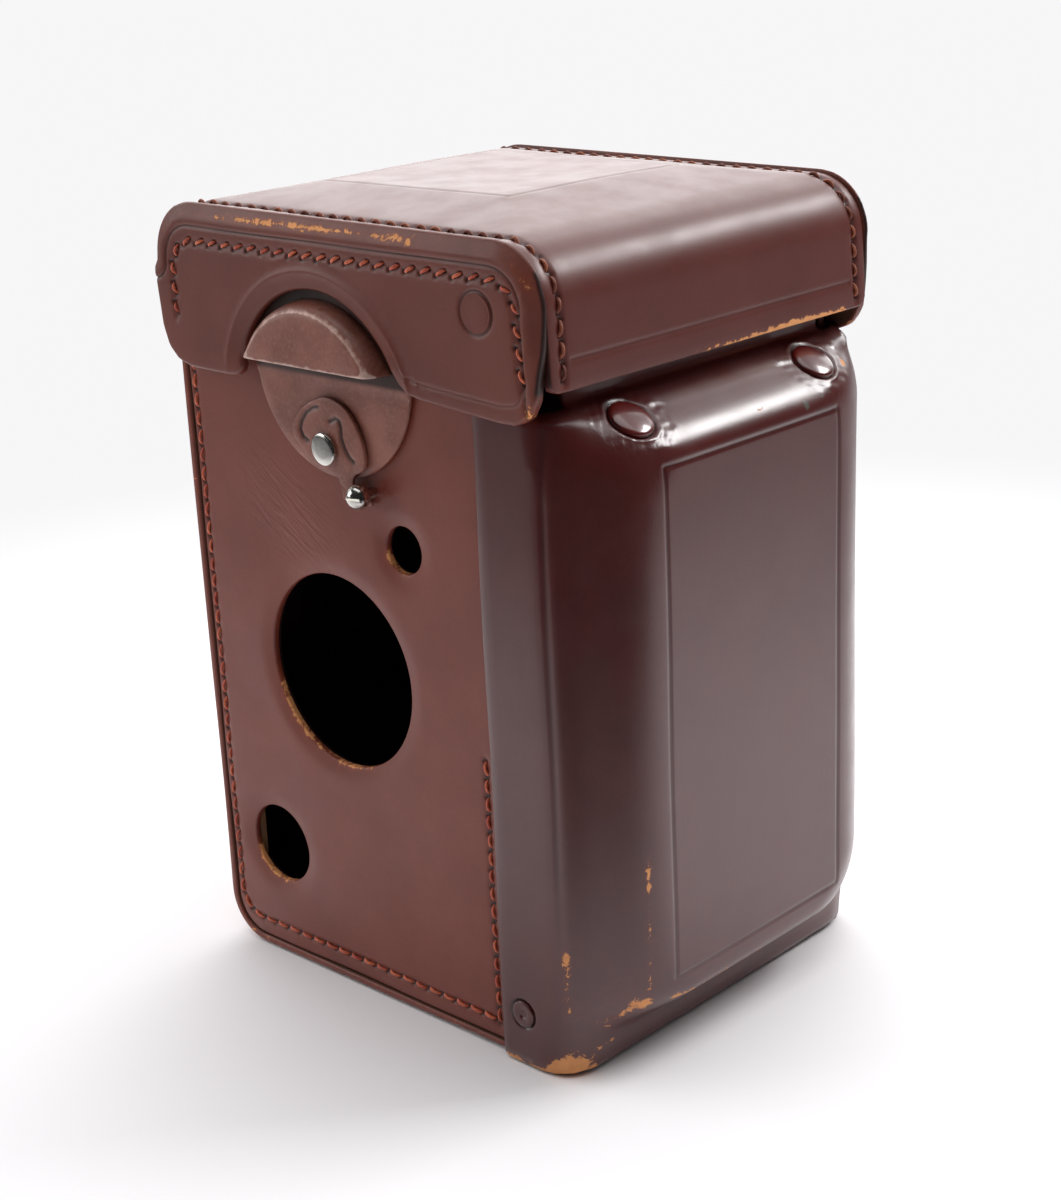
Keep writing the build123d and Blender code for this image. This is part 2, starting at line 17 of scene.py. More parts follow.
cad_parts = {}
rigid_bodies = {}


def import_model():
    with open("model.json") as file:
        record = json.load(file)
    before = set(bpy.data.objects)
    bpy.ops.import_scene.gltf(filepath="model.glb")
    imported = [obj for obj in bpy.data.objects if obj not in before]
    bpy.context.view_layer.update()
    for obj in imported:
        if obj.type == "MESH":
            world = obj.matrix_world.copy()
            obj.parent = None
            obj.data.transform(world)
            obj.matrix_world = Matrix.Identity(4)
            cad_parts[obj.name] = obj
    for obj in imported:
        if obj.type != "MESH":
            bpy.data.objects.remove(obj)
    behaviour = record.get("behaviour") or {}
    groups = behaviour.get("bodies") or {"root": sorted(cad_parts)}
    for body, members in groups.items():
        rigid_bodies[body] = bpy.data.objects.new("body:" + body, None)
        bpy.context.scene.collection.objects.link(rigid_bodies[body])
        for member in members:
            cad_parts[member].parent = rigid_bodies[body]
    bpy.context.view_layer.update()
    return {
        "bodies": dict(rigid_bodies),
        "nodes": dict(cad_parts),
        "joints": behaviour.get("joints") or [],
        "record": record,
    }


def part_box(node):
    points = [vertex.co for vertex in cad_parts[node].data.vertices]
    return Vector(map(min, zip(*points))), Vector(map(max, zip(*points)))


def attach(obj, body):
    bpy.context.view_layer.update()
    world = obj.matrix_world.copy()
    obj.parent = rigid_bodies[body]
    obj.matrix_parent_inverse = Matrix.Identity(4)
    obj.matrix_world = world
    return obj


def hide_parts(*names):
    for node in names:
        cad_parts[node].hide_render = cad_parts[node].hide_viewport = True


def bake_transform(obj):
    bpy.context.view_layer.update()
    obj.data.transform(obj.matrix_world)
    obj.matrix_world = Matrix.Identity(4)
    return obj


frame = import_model()

MM = 0.001
SIDES = (("left", -1), ("right", 1))


def size(node):
    """Lowest and highest corner of a CAD node, in millimetres."""
    low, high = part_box(node)
    return np.array(low) / MM, np.array(high) / MM


# ---- sizes taken from the frame ---------------------------------------------------------
panel_low, panel_high = size("side_panel_left")
wrap_low, wrap_high = size("back_bottom_wrap")
cover_low, cover_high = size("front_cover")
lid_low, lid_high = size("lid_wrap")
flap_low, flap_high = size("lid_flap_left")
panel_out = -panel_low[0]
flange_out = -cover_low[0]
flap_out = -flap_low[0]
lid_half = -lid_low[0]
leather = panel_high[0] - panel_low[0]
mounts = {mount["name"]: mount for mount in frame["record"]["mounts"]}
joints = {joint["name"]: joint for joint in frame["joints"]}


def mount_hole(name):
    """Y, Z and radius of one of the knob holes."""
    mount = mounts[name]
    return mount["pos_m"][1] / MM, mount["pos_m"][2] / MM, mount["dims"]["r_mm"]


def pivot(name):
    """A joint's place, in millimetres."""
    return np.array(joints[name]["pos_m"]) / MM


focus_hole = mount_hole("focusing_knob_hole")
shutter_hole = mount_hole("shutter_knob_hole")
spool_hole = mount_hole("spool_knob_hole")
cover_pivot = pivot("front_cover_drop")
lever_pivot = pivot("latch_lever_left_turn")
hinge = pivot("lid_hinge")


# ---- small mathematics -------------------------------------------------------------------
def ramp(low, high, x):
    """0 below low, 1 above high, smooth between them."""
    t = np.clip((x - low) / (high - low), 0, 1)
    return t * t * (3 - 2 * t)


def bump(x, width):
    """1 at 0, fading away over width."""
    return np.exp(-((x / width) ** 2))


def soft_min(a, b, k):
    """The smaller of two values, blended where they are closer than k."""
    h = np.clip(0.5 + 0.5 * (b - a) / k, 0, 1)
    return b * (1 - h) + a * h - k * h * (1 - h)


def soft_max(a, b, k):
    return -soft_min(-a, -b, k)


def unit(v):
    return v / np.maximum(np.linalg.norm(v, axis=-1, keepdims=True), 1e-9)


def ripple(q, wavelength, seed):
    """A smooth uneven field between about -1 and 1, the same every run."""
    random = np.random.default_rng(seed)
    total = np.zeros(len(q))
    for _ in range(7):
        direction = unit(random.normal(size=q.shape[1]))
        turns = random.uniform(0.6, 1.5) / wavelength
        total += np.sin(2 * math.pi * (q @ direction * turns + random.uniform(0, 1)))
    return total / 3.5


# ---- outlines and lines --------------------------------------------------------------------
def rounded(points, radii, step=0.8):
    """A closed outline through corner points, each rounded to its radius."""
    points = [np.array(p, float) for p in points]
    out = []
    for i, (corner, radius) in enumerate(zip(points, radii)):
        a = unit(points[i - 1] - corner)
        b = unit(points[(i + 1) % len(points)] - corner)
        half = math.acos(float(np.clip(a @ b, -1, 1))) / 2
        if radius <= 0 or half > 1.55:
            out.append(corner)
            continue
        centre = corner + unit(a + b) * radius / math.sin(half)
        start = corner + a * radius / math.tan(half) - centre
        end = corner + b * radius / math.tan(half) - centre
        turn = math.pi - 2 * half
        count = max(3, int(turn * radius / step) + 1)
        for t in np.linspace(0, 1, count + 1):
            mixed = (math.sin((1 - t) * turn) * start + math.sin(t * turn) * end) / math.sin(turn)
            out.append(centre + mixed)
    return np.array(out)


def circle(centre, radius, step=0.8):
    count = max(24, int(2 * math.pi * radius / step))
    angles = np.linspace(0, 2 * math.pi, count, endpoint=False)
    return np.stack([centre[0] + radius * np.cos(angles), centre[1] + radius * np.sin(angles)], axis=1)


def flowing(points, count=5):
    """A closed curve that passes smoothly through its points."""
    p = np.array(points, float)
    before, after, later = np.roll(p, 1, 0), np.roll(p, -1, 0), np.roll(p, -2, 0)
    steps = []
    for t in np.linspace(0, 1, count, endpoint=False):
        curve = 2 * p + (after - before) * t
        curve += (2 * before - 5 * p + 4 * after - later) * t**2
        curve += (3 * p - before - 3 * after + later) * t**3
        steps.append(curve / 2)
    return np.stack(steps, axis=1).reshape(-1, 2)


def nearest(p, start, end, chunk=3000):
    """For each point, the distance to the closest of the segments and the closest place on them."""
    run = end - start
    squared = np.maximum((run**2).sum(1), 1e-12)
    distances, places = [np.zeros(0)], [np.zeros((0, 2))]
    for i in range(0, len(p), chunk):
        part = p[i : i + chunk, None]
        t = np.clip(((part - start) * run).sum(2) / squared, 0, 1)
        spot = start + t[..., None] * run
        d = ((part - spot) ** 2).sum(2)
        k = d.argmin(1)
        rows = np.arange(len(k))
        distances.append(np.sqrt(d[rows, k]))
        places.append(spot[rows, k])
    return np.concatenate(distances), np.concatenate(places)


class Outline:
    """Closed loops. The first is the outer edge and the others are holes."""

    def __init__(self, loops):
        self.start = np.vstack(loops)
        self.end = np.vstack([np.roll(loop, -1, axis=0) for loop in loops])

    def signed(self, p):
        """Distance to the edge, negative inside, and the closest place on the edge."""
        distance, place = nearest(p, self.start, self.end)
        a, b = self.start, self.end
        inside = np.zeros(len(p), bool)
        for i in range(0, len(p), 3000):
            x, y = p[i : i + 3000, 0, None], p[i : i + 3000, 1, None]
            crosses = (a[:, 1] > y) != (b[:, 1] > y)
            height = np.where(np.abs(b[:, 1] - a[:, 1]) < 1e-12, 1e-12, b[:, 1] - a[:, 1])
            at = a[:, 0] + (y - a[:, 1]) * (b[:, 0] - a[:, 0]) / height
            inside[i : i + 3000] = (crosses & (x < at)).sum(1) % 2 == 1
        return np.where(inside, -distance, distance), place


class Line:
    """An open line of points that can be measured along."""

    def __init__(self, points):
        self.points = np.array(points, float)
        steps = np.linalg.norm(np.diff(self.points, axis=0), axis=1)
        self.at = np.concatenate([[0], np.cumsum(steps)])
        self.length = self.at[-1]

    def distance(self, p):
        return nearest(p, self.points[:-1], self.points[1:])[0]

    def place(self, s):
        return np.stack([np.interp(s, self.at, self.points[:, k]) for k in range(2)], axis=-1)

    def stitches(self, pitch, length, slant):
        """Both ends of each stitch, spread evenly along the line and turned by slant degrees."""
        count = max(1, round(self.length / pitch))
        middle = (np.arange(count) + 0.5) * self.length / count
        along = unit(self.place(middle + 0.2) - self.place(middle - 0.2))
        across = np.stack([-along[:, 1], along[:, 0]], axis=1)
        angle = math.radians(slant)
        reach = (along * math.cos(angle) + across * math.sin(angle)) * length / 2
        return np.stack([self.place(middle) - reach, self.place(middle) + reach], axis=1)


def open_line(points, radius):
    """A line through corner points, its inner corners rounded."""
    return Line(rounded(points, [0] + [radius] * (len(points) - 2) + [0]))


def box_outline(low, high, radii):
    """A rectangle, rounded. The radii start at its low corner and go round."""
    (a, b), (c, d) = low, high
    return rounded([(a, b), (c, b), (c, d), (a, d)], radii)


def beyond(p, ring):
    """Distance of points outside a ring given as its middle and radius, negative inside."""
    return np.hypot(p[:, 0] - ring[0], p[:, 1] - ring[1]) - ring[2]


# ---- meshes ------------------------------------------------------------------------------
def build(name, verts, faces, material, body, slot, stands_for=(), marks=None):
    """A mesh object from millimetres, with outward faces, riding on a body."""
    mesh = bpy.data.meshes.new(name)
    mesh.from_pydata((np.asarray(verts) * MM).tolist(), [], [list(map(int, face)) for face in faces])
    for key, values in (marks or {}).items():
        mesh.attributes.new(key, "FLOAT", "POINT").data.foreach_set("value", np.asarray(values, np.float32))
    bm = bmesh.new()
    bm.from_mesh(mesh)
    bmesh.ops.remove_doubles(bm, verts=bm.verts, dist=1e-6)
    bmesh.ops.recalc_face_normals(bm, faces=bm.faces)
    bm.to_mesh(mesh)
    bm.free()
    mesh.polygons.foreach_set("use_smooth", np.ones(len(mesh.polygons), bool))
    mesh.materials.append(material)
    obj = bpy.data.objects.new(name, mesh)
    bpy.context.scene.collection.objects.link(obj)
    if isinstance(body, str):
        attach(obj, body)
    if stands_for:
        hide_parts(*stands_for)
    return obj


def flat_grid(outline, edge, step, fine, levels):
    """Points and faces that fill an outline moved in by edge, cut finer where fine(p) is small."""
    low = outline.start.min(0) + edge
    high = outline.start.max(0) - edge
    counts = np.maximum(2, np.round((high - low) / step).astype(int))
    u = np.linspace(low[0], high[0], counts[0] + 1)
    v = np.linspace(low[1], high[1], counts[1] + 1)
    middle_u, middle_v = (u[:-1] + u[1:]) / 2, (v[:-1] + v[1:]) / 2
    middles = np.stack(np.meshgrid(middle_u, middle_v, indexing="ij"), axis=-1).reshape(-1, 2)
    kept = (outline.signed(middles)[0] < -edge - 0.1 * step).reshape(counts)
    bm = bmesh.new()
    verts = {}

    def vert(i, j):
        if (i, j) not in verts:
            verts[i, j] = bm.verts.new((u[i], v[j], 0))
        return verts[i, j]

    for i, j in np.argwhere(kept):
        bm.faces.new((vert(i, j), vert(i + 1, j), vert(i + 1, j + 1), vert(i, j + 1)))
    rim = [vertex for vertex in bm.verts if vertex.is_boundary]
    p = np.array([vertex.co[:2] for vertex in rim])
    distance, place = outline.signed(p)
    outward = unit(np.where(distance[:, None] < 0, place - p, p - place))
    for vertex, spot in zip(rim, place - outward * edge):
        vertex.co = (*spot, 0)
    for level in range(levels):
        edges = list(bm.edges)
        middles = np.array([(e.verts[0].co[:2], e.verts[1].co[:2]) for e in edges]).mean(1)
        near = fine(middles) < step / 2**level
        chosen = [e for e, wanted in zip(edges, near) if wanted]
        bmesh.ops.subdivide_edges(bm, edges=chosen, cuts=1, use_grid_fill=True)
    bm.verts.index_update()
    points = np.array([vertex.co[:2] for vertex in bm.verts])
    faces = [[vertex.index for vertex in face.verts] for face in bm.faces]
    loops, open_edges = [], {}
    for e in bm.edges:
        if e.is_boundary:
            a, b = e.verts[0].index, e.verts[1].index
            open_edges.setdefault(a, []).append(b)
            open_edges.setdefault(b, []).append(a)
    bm.free()
    while open_edges:
        first = next(iter(open_edges))
        loop, before, now = [first], None, first
        while True:
            choices = [k for k in open_edges[now] if k != before]
            before, now = now, choices[0]
            if now == first:
                break
            loop.append(now)
        for k in loop:
            open_edges.pop(k)
        loops.append(loop)
    return points, faces, loops


def sheet(
    loops, surface, thick, relief=None, marks=None, edge=0.5, step=1.2, fine=None, levels=0, back=0.4
):
    """A sheet of leather or metal as verts, faces and marks.

    surface(p) lays outline points on a face in space; relief(p, q, d) lifts them, where q is the laid point
    and d the distance from the edge, negative inside; marks(p, q, d) gives the values written on the points.
    """
    outline = Outline(loops)
    flat, faces, rims = flat_grid(outline, edge, step, fine, levels)
    ring = np.concatenate(rims)
    distance, place = outline.signed(flat[ring])
    outward = unit(place - flat[ring])
    back_edge = min(edge, thick * back)
    height = relief(flat, surface(flat), outline.signed(flat)[0]) if relief else np.zeros(len(flat))
    layers = [(flat, height)]
    turns = 5 if edge > 0.6 else 3
    for k in range(1, turns + 1):
        a = k / turns * math.pi / 2
        layers.append((flat[ring] + outward * edge * math.sin(a), height[ring] - edge * (1 - math.cos(a))))
    for k in range(3, 0, -1):
        a = k / 3 * math.pi / 2
        spot = flat[ring] + outward * edge * math.sin(a)
        layers.append((spot, height[ring] * 0 - thick + back_edge * (1 - math.cos(a))))
    layers.append((flat, np.full(len(flat), -thick)))
    verts, starts = [], []
    for p, h in layers:
        starts.append(sum(len(v) for v in verts))
        verts.append(surface(p) + h[:, None] * surface_normal(surface, p))
    all_faces = [list(face) for face in faces] + [[k + starts[-1] for k in reversed(face)] for face in faces]
    rows = [ring] + [np.arange(len(ring)) + s for s in starts[1:-1]] + [ring + starts[-1]]
    offset = 0
    for rim in rims:
        here = np.arange(len(rim)) + offset
        after = np.roll(here, -1)
        for upper, lower in zip(rows[:-1], rows[1:]):
            all_faces += np.stack([upper[here], upper[after], lower[after], lower[here]], axis=1).tolist()
        offset += len(rim)
    values = None
    if marks:
        found = [marks(p, surface(p), outline.signed(p)[0]) for p, h in layers]
        values = {key: np.concatenate([layer[key] for layer in found]) for key in found[0]}
        values["wear"][starts[-1] :] = 0
        values["inner"] = (np.arange(len(values["wear"])) >= starts[-1]).astype(float)
    return np.vstack(verts), all_faces, values


def surface_normal(surface, p, reach=0.05):
    """Outward unit normals of a surface, from points close by."""
    across = surface(p + (reach, 0)) - surface(p - (reach, 0))
    up = surface(p + (0, reach)) - surface(p - (0, reach))
    return unit(np.cross(across, up)) * getattr(surface, "facing", 1)


def side_surface(side, out):
    """The upright plane at X = side * out, facing away from the middle: outline points are (Y, Z)."""

    def surface(p):
        return np.stack([np.full(len(p), side * out), p[:, 0], p[:, 1]], axis=1)

    surface.facing = side
    return surface


def outward_side(side, made):
    """Turns the sheet of a left plane into the same sheet on the right."""
    verts, faces, values = made
    verts = verts * (1 if side < 0 else -1, 1, 1)
    return verts, faces, values


def bent_surface(points):
    """A surface swept along X, its side view a line of (Y, Z) points. Outline points: (X, length along)."""
    line = Line(points)
    s = np.arange(0, line.length, 0.4)
    path = line.place(s)
    for _ in range(3):
        path[1:-1] = (path[:-2] + 2 * path[1:-1] + path[2:]) / 4
    first, last = path[0] - path[1], path[-1] - path[-2]
    s = np.concatenate([[s[0] - 8], s, [s[-1] + 8]])
    path = np.vstack([path[0] + unit(first) * 8, path, path[-1] + unit(last) * 8])

    def surface(p):
        y, z = (np.interp(p[:, 1], s, path[:, k]) for k in range(2))
        return np.stack([p[:, 0], y, z], axis=1)

    surface.length = line.length
    return surface


def ring_faces(first, rings, sides):
    """Faces between rings of points that follow one another."""
    faces = []
    for ring in range(rings - 1):
        a, b = first + ring * sides, first + (ring + 1) * sides
        for k in range(sides):
            m = (k + 1) % sides
            faces.append((a + k, a + m, b + m, b + k))
    return faces


def tube(points, ups, radius, sides=8, twist=0.0, flatten=0.78):
    """A two-ply cord along points: an oval section that turns as it goes."""
    along = unit(np.gradient(points, axis=0))
    right = unit(np.cross(along, ups))
    over = np.cross(right, along)
    count = len(points)
    taper = np.sin(np.linspace(0.16, math.pi - 0.16, count)) ** 0.35
    verts = []
    for i in range(count):
        angle = np.linspace(0, 2 * math.pi, sides, endpoint=False)
        turn = twist * i / count
        r = radius * taper[i] * (1 - (1 - flatten) * np.sin(angle - turn) ** 2)
        verts.append(points[i] + np.outer(r * np.cos(angle), right[i]) + np.outer(r * np.sin(angle), over[i]))
    faces = ring_faces(0, count, sides)
    faces.append(tuple(range(sides)))
    faces.append(tuple((count - 1) * sides + k for k in range(sides)))
    return np.vstack(verts), faces


def thread(name, runs, body, slot, stands_for, material, radius=0.42, lift=0.34, dip=0.75):
    """All the stitches of a seam. runs holds (surface, stitch ends) pairs."""
    verts, faces, shades = [], [], []
    random = np.random.default_rng(len(name) + 7)
    total = 0
    for surface, ends in runs:
        for start, end in ends:
            t = np.linspace(0, 1, 9)
            start = start + random.normal(0, 0.07, 2)
            end = end + random.normal(0, 0.07, 2)
            p = start + (end - start) * t[:, None]
            height = (lift + dip) * np.sin(math.pi * t) ** 0.6 - dip
            up = surface_normal(surface, p)
            thick = radius * random.uniform(0.88, 1.1)
            made, made_faces = tube(surface(p) + up * height[:, None], up, thick, twist=5.0)
            verts.append(made)
            faces += [[k + total for k in face] for face in made_faces]
            shades.append(np.full(len(made), random.uniform(0, 1)))
            total += len(made)
    marks = {"shade": np.concatenate(shades)}
    return build(name, np.vstack(verts), faces, material, body, slot, stands_for, marks)


def turned(name, pieces, material, body, slot, stands_for, sides=48):
    """Turned shapes: each piece is an origin, an axis and (radius, height) points from foot to top."""
    verts, faces, total = [], [], 0
    for origin, axis, profile in pieces:
        axis = unit(np.array(axis, float))
        right = unit(np.cross(axis, (0.31, 0.2, 0.93)))
        over = np.cross(axis, right)
        angle = np.linspace(0, 2 * math.pi, sides, endpoint=False)
        circle_points = np.outer(np.cos(angle), right) + np.outer(np.sin(angle), over)
        for radius, height in profile:
            verts.append(np.array(origin) + axis * height + circle_points * max(radius, 0.001))
        faces += ring_faces(total, len(profile), sides)
        faces.append(tuple(total + k for k in range(sides)))
        total += sides * len(profile)
    return build(name, np.vstack(verts), faces, material, body, slot, stands_for)


def merge(*made):
    """Several sheets as one."""
    verts, faces, values, total = [], [], {}, 0
    for part, part_faces, part_values in made:
        verts.append(part)
        faces += [[k + total for k in face] for face in part_faces]
        total += len(part)
        for key, value in (part_values or {}).items():
            values.setdefault(key, []).append(value)
    return np.vstack(verts), faces, {key: np.concatenate(value) for key, value in values.items()}


def spots(q, places):
    """Sum of round soft marks at places (x, y, z, radius, strength)."""
    total = np.zeros(len(q))
    for x, y, z, radius, strength in places:
        total += strength * bump(np.linalg.norm(q - (x, y, z), axis=1), radius)
    return total


def streaks(q, places):
    """Sum of soft marks along lines: (start, end, radius, strength)."""
    total = np.zeros(len(q))
    for start, end, radius, strength in places:
        start, end = np.array([start], float), np.array([end], float)
        run = end - start
        t = np.clip(((q - start) * run).sum(1) / (run**2).sum(), 0, 1)
        total += strength * bump(np.linalg.norm(q - start - t[:, None] * run, axis=1), radius)
    return total


# ---- materials -----------------------------------------------------------------------------
def colour(red, green, blue):
    """A colour given in 0 to 255 as screens show it."""
    linear = [((c / 255 + 0.055) / 1.055) ** 2.4 if c > 10 else c / 255 / 12.92 for c in (red, green, blue)]
    return (*linear, 1.0)


class Graph:
    """The nodes of a new material, or of a world, made one call at a time."""

    def __init__(self, name, world=None):
        self.owner = world or bpy.data.materials.new(name)
        self.owner.use_nodes = True
        self.tree = self.owner.node_tree
        self.tree.nodes.clear()
        self.output = self.node("ShaderNodeOutputWorld" if world else "ShaderNodeOutputMaterial")
        self.place = self.node("ShaderNodeTexCoord").outputs["Generated" if world else "Object"]

    def node(self, kind, inputs=None, **settings):
        made = self.tree.nodes.new(kind)
        for key, value in settings.items():
            setattr(made, key, value)
        for key, value in (inputs or {}).items():
            if isinstance(value, bpy.types.NodeSocket):
                self.tree.links.new(value, made.inputs[key])
            else:
                made.inputs[key].default_value = value
        return made

    def math(self, operation, a, b=0.0, clamp=False):
        return self.node("ShaderNodeMath", {0: a, 1: b}, operation=operation, use_clamp=clamp).outputs[0]

    def noise(self, scale, detail=3.0, rough=0.5, stretch=None, distort=0.0, turn=0.0):
        where = self.place
        if turn:
            where = self.node("ShaderNodeMapping", {"Vector": where, "Rotation": (turn, 0, 0)}).outputs[0]
        if stretch:
            where = self.node("ShaderNodeMapping", {"Vector": where, "Scale": stretch}).outputs[0]
        inputs = {"Vector": where, "Scale": scale, "Detail": detail}
        inputs |= {"Roughness": rough, "Distortion": distort}
        return self.node("ShaderNodeTexNoise", inputs).outputs["Fac"]

    def cells(self, scale, feature="F1"):
        inputs = {"Vector": self.place, "Scale": scale}
        return self.node("ShaderNodeTexVoronoi", inputs, feature=feature).outputs["Distance"]

    def mark(self, name):
        return self.node("ShaderNodeAttribute", attribute_name=name).outputs["Fac"]

    def ramp(self, value, low, high, out_low=0.0, out_high=1.0):
        inputs = {0: value, 1: low, 2: high, 3: out_low, 4: out_high}
        return self.node("ShaderNodeMapRange", inputs, interpolation_type="SMOOTHSTEP").outputs[0]

    def mix(self, factor, a, b, blend="MIX"):
        made = self.node("ShaderNodeMix", data_type="RGBA", blend_type=blend)
        for key, value in (("Factor", factor), ("A", a), ("B", b)):
            sockets = [s for s in made.inputs if s.name == key and s.enabled]
            if isinstance(value, bpy.types.NodeSocket):
                self.tree.links.new(value, sockets[0])
            else:
                sockets[0].default_value = value
        return [s for s in made.outputs if s.enabled][0]

    def bump(self, height, strength, distance, normal=None):
        inputs = {"Height": height, "Strength": strength, "Distance": distance * MM}
        if normal is not None:
            inputs["Normal"] = normal
        return self.node("ShaderNodeBump", inputs).outputs[0]

    def finish(self, **inputs):
        named = {key.replace("_", " "): value for key, value in inputs.items()}
        return self.show(self.node("ShaderNodeBsdfPrincipled", named))

    def show(self, shader):
        self.tree.links.new(shader.outputs[0], self.output.inputs[0])
        return self.owner


def leather_material(name, dark, light, rough, coat, grain=0.25, creases=0.2, tan=(236, 168, 108)):
    """Dyed calf: mottled dye, pores, fine creases, and rubbed places where the tan shows through."""
    g = Graph(name)
    clouds = g.noise(55, 4, 0.6)
    speckle = g.noise(2600, 2, 0.6)
    base = g.mix(g.ramp(clouds, 0.3, 0.7), colour(*dark), colour(*light))
    base = g.mix(g.ramp(speckle, 0.3, 0.75, 0.0, 0.2), base, colour(*[c * 0.72 for c in dark]))
    flecks = g.math("SUBTRACT", g.math("MULTIPLY", g.noise(460, 9, 0.72, distort=0.7), 1.4), 0.2)
    jagged = g.math("ADD", flecks, g.math("MULTIPLY", g.noise(90, 3), 0.6))
    rubbed = g.ramp(g.math("ADD", g.mark("wear"), jagged), 1.28, 1.36)
    halo = g.ramp(g.math("ADD", g.mark("wear"), jagged), 0.98, 1.32, 0, 0.55)
    raw = g.mix(g.noise(500, 4), colour(*tan), colour(tan[0] * 0.85, tan[1] * 0.75, tan[2] * 0.65))
    base = g.mix(halo, base, colour(dark[0] * 1.25, dark[1] * 1.3, dark[2] * 1.0))
    base = g.mix(rubbed, base, raw)
    scuffed = g.ramp(g.math("ADD", g.mark("scuff"), jagged), 1.25, 1.4, 0, 0.7)
    base = g.mix(scuffed, base, colour(84, 92, 84))
    base = g.mix(g.math("MULTIPLY", g.mark("stain"), g.ramp(jagged, 0.6, 1.0)), base, colour(92, 20, 10))
    # The dark mark is mostly painted shade: in stitch holes, seam channels, pressed lines, grooves, rivet
    # rings and gaps between parts. Along some cut edges it only darkens the edge.
    base = g.mix(g.ramp(g.mark("dark"), 0.0, 1.0, 0.0, 0.93), base, colour(18, 9, 8))
    suede = g.mix(g.noise(1500, 5, 0.7), colour(70, 42, 30), colour(104, 68, 48))
    base = g.mix(g.mark("inner"), base, suede)
    pores = g.ramp(g.cells(2100), 0.0, 0.55)
    folds = g.noise(700, 6, 0.62, stretch=(1, 1, 0.4), distort=1.2)
    fine = g.math("ADD", g.math("MULTIPLY", pores, 0.5), g.math("MULTIPLY", g.noise(3800, 3), 0.5))
    normal = g.bump(fine, grain, 0.07)
    normal = g.bump(folds, creases, 0.16, normal)
    wrinkles = g.math("MULTIPLY", g.noise(900, 3, 0.5, (1, 0.16, 1), 0.8, turn=-0.6), g.mark("crease"))
    normal = g.bump(wrinkles, 0.8, 0.3, normal)
    normal = g.bump(rubbed, 0.5, -0.1, normal)
    roughness = g.ramp(g.noise(130, 5, 0.6), 0.3, 0.7, rough - 0.03, rough + 0.04)
    dull = g.math("MAXIMUM", rubbed, g.mark("inner"))
    roughness = g.math("ADD", roughness, g.math("MULTIPLY", dull, 0.35), clamp=True)
    glaze = g.math("MULTIPLY", g.math("SUBTRACT", 1.0, dull), coat)
    return g.finish(
        Base_Color=base,
        Roughness=roughness,
        Specular_IOR_Level=0.5,
        Coat_Weight=glaze,
        Coat_Roughness=g.ramp(g.noise(180, 4), 0.3, 0.7, 0.2, 0.27),
        Coat_IOR=1.5,
        Normal=normal,
    )


def velvet_material(name, dark, light):
    """Short dark pile with a soft sheen."""
    g = Graph(name)
    pile = g.noise(3200, 4, 0.7)
    base = g.mix(g.ramp(g.noise(60, 3), 0.3, 0.7), colour(*dark), colour(*light))
    base = g.mix(g.ramp(pile, 0.3, 0.7, 0, 0.5), base, colour(*[c * 0.5 for c in dark]))
    normal = g.bump(pile, 0.8, 0.25)
    return g.finish(
        Base_Color=base,
        Roughness=0.95,
        Specular_IOR_Level=0.15,
        Sheen_Weight=0.35,
        Sheen_Roughness=0.4,
        Sheen_Tint=colour(*light),
        Normal=normal,
    )


def thread_material(name, low, high, dirt, share, stretch=None, rough=0.6, sheen=0.0):
    """Waxed linen: each stitch a little different, with dirt between the fibres."""
    g = Graph(name)
    base = g.mix(g.mark("shade"), colour(*low), colour(*high))
    fibres = g.noise(5200, 4, 0.7, stretch=stretch)
    base = g.mix(g.ramp(fibres, 0.35, 0.7, 0, share), base, colour(*dirt))
    return g.finish(Base_Color=base, Roughness=rough, Sheen_Weight=sheen, Normal=g.bump(fibres, 0.7, 0.12))


def paint_material(name):
    """Brown enamel on brass, speckled, rubbed pale on its ridges and scuffed blue-grey."""
    g = Graph(name)
    base = g.mix(g.ramp(g.noise(90, 3), 0.3, 0.7), colour(114, 65, 53), colour(136, 83, 70))
    base = g.mix(g.ramp(g.noise(1500, 3, 0.7), 0.45, 0.75, 0, 0.45), base, colour(150, 106, 90))
    jagged = g.noise(600, 8, 0.7)
    total = g.math("ADD", g.mark("wear"), jagged)
    rubbed = g.ramp(total, 1.1, 1.5, 0, 0.8)
    base = g.mix(rubbed, base, colour(205, 176, 164))
    rust = g.ramp(g.math("ADD", g.mark("rust"), g.noise(420, 6, 0.7)), 1.05, 1.3, 0, 0.8)
    base = g.mix(rust, base, colour(104, 50, 28))
    scuff = g.ramp(g.math("ADD", g.mark("scuff"), g.noise(700, 6, 0.7)), 1.12, 1.35, 0, 0.85)
    base = g.mix(scuff, base, colour(62, 70, 76))
    # The dark mark is painted shade: under and inside the louvre's hood, in the plate's fold and in the
    # lever's grooves.
    base = g.mix(g.ramp(g.mark("dark"), 0, 1, 0, 0.92), base, colour(16, 8, 7))
    normal = g.bump(g.noise(1700, 4, 0.6), 0.22, 0.08)
    normal = g.bump(rubbed, 0.25, -0.05, normal)
    return g.finish(
        Base_Color=base,
        Roughness=g.ramp(g.noise(300, 4), 0.3, 0.7, 0.36, 0.5),
        Metallic=g.math("MULTIPLY", rubbed, 0.3),
        Normal=normal,
    )


def metal_material(name, tint, rough, scratch=0.15):
    """Bare metal, a little cloudy and finely scratched."""
    g = Graph(name)
    marks = g.noise(1400, 5, 0.7)
    clouds = g.ramp(g.noise(160, 4), 0.35, 0.75, 0, 0.35)
    base = g.mix(clouds, colour(*tint), colour(*[c * 0.7 for c in tint]))
    roughness = g.ramp(marks, 0.3, 0.7, max(0.04, rough - 0.06), rough + 0.08)
    return g.finish(Base_Color=base, Metallic=1.0, Roughness=roughness, Normal=g.bump(marks, scratch, 0.03))


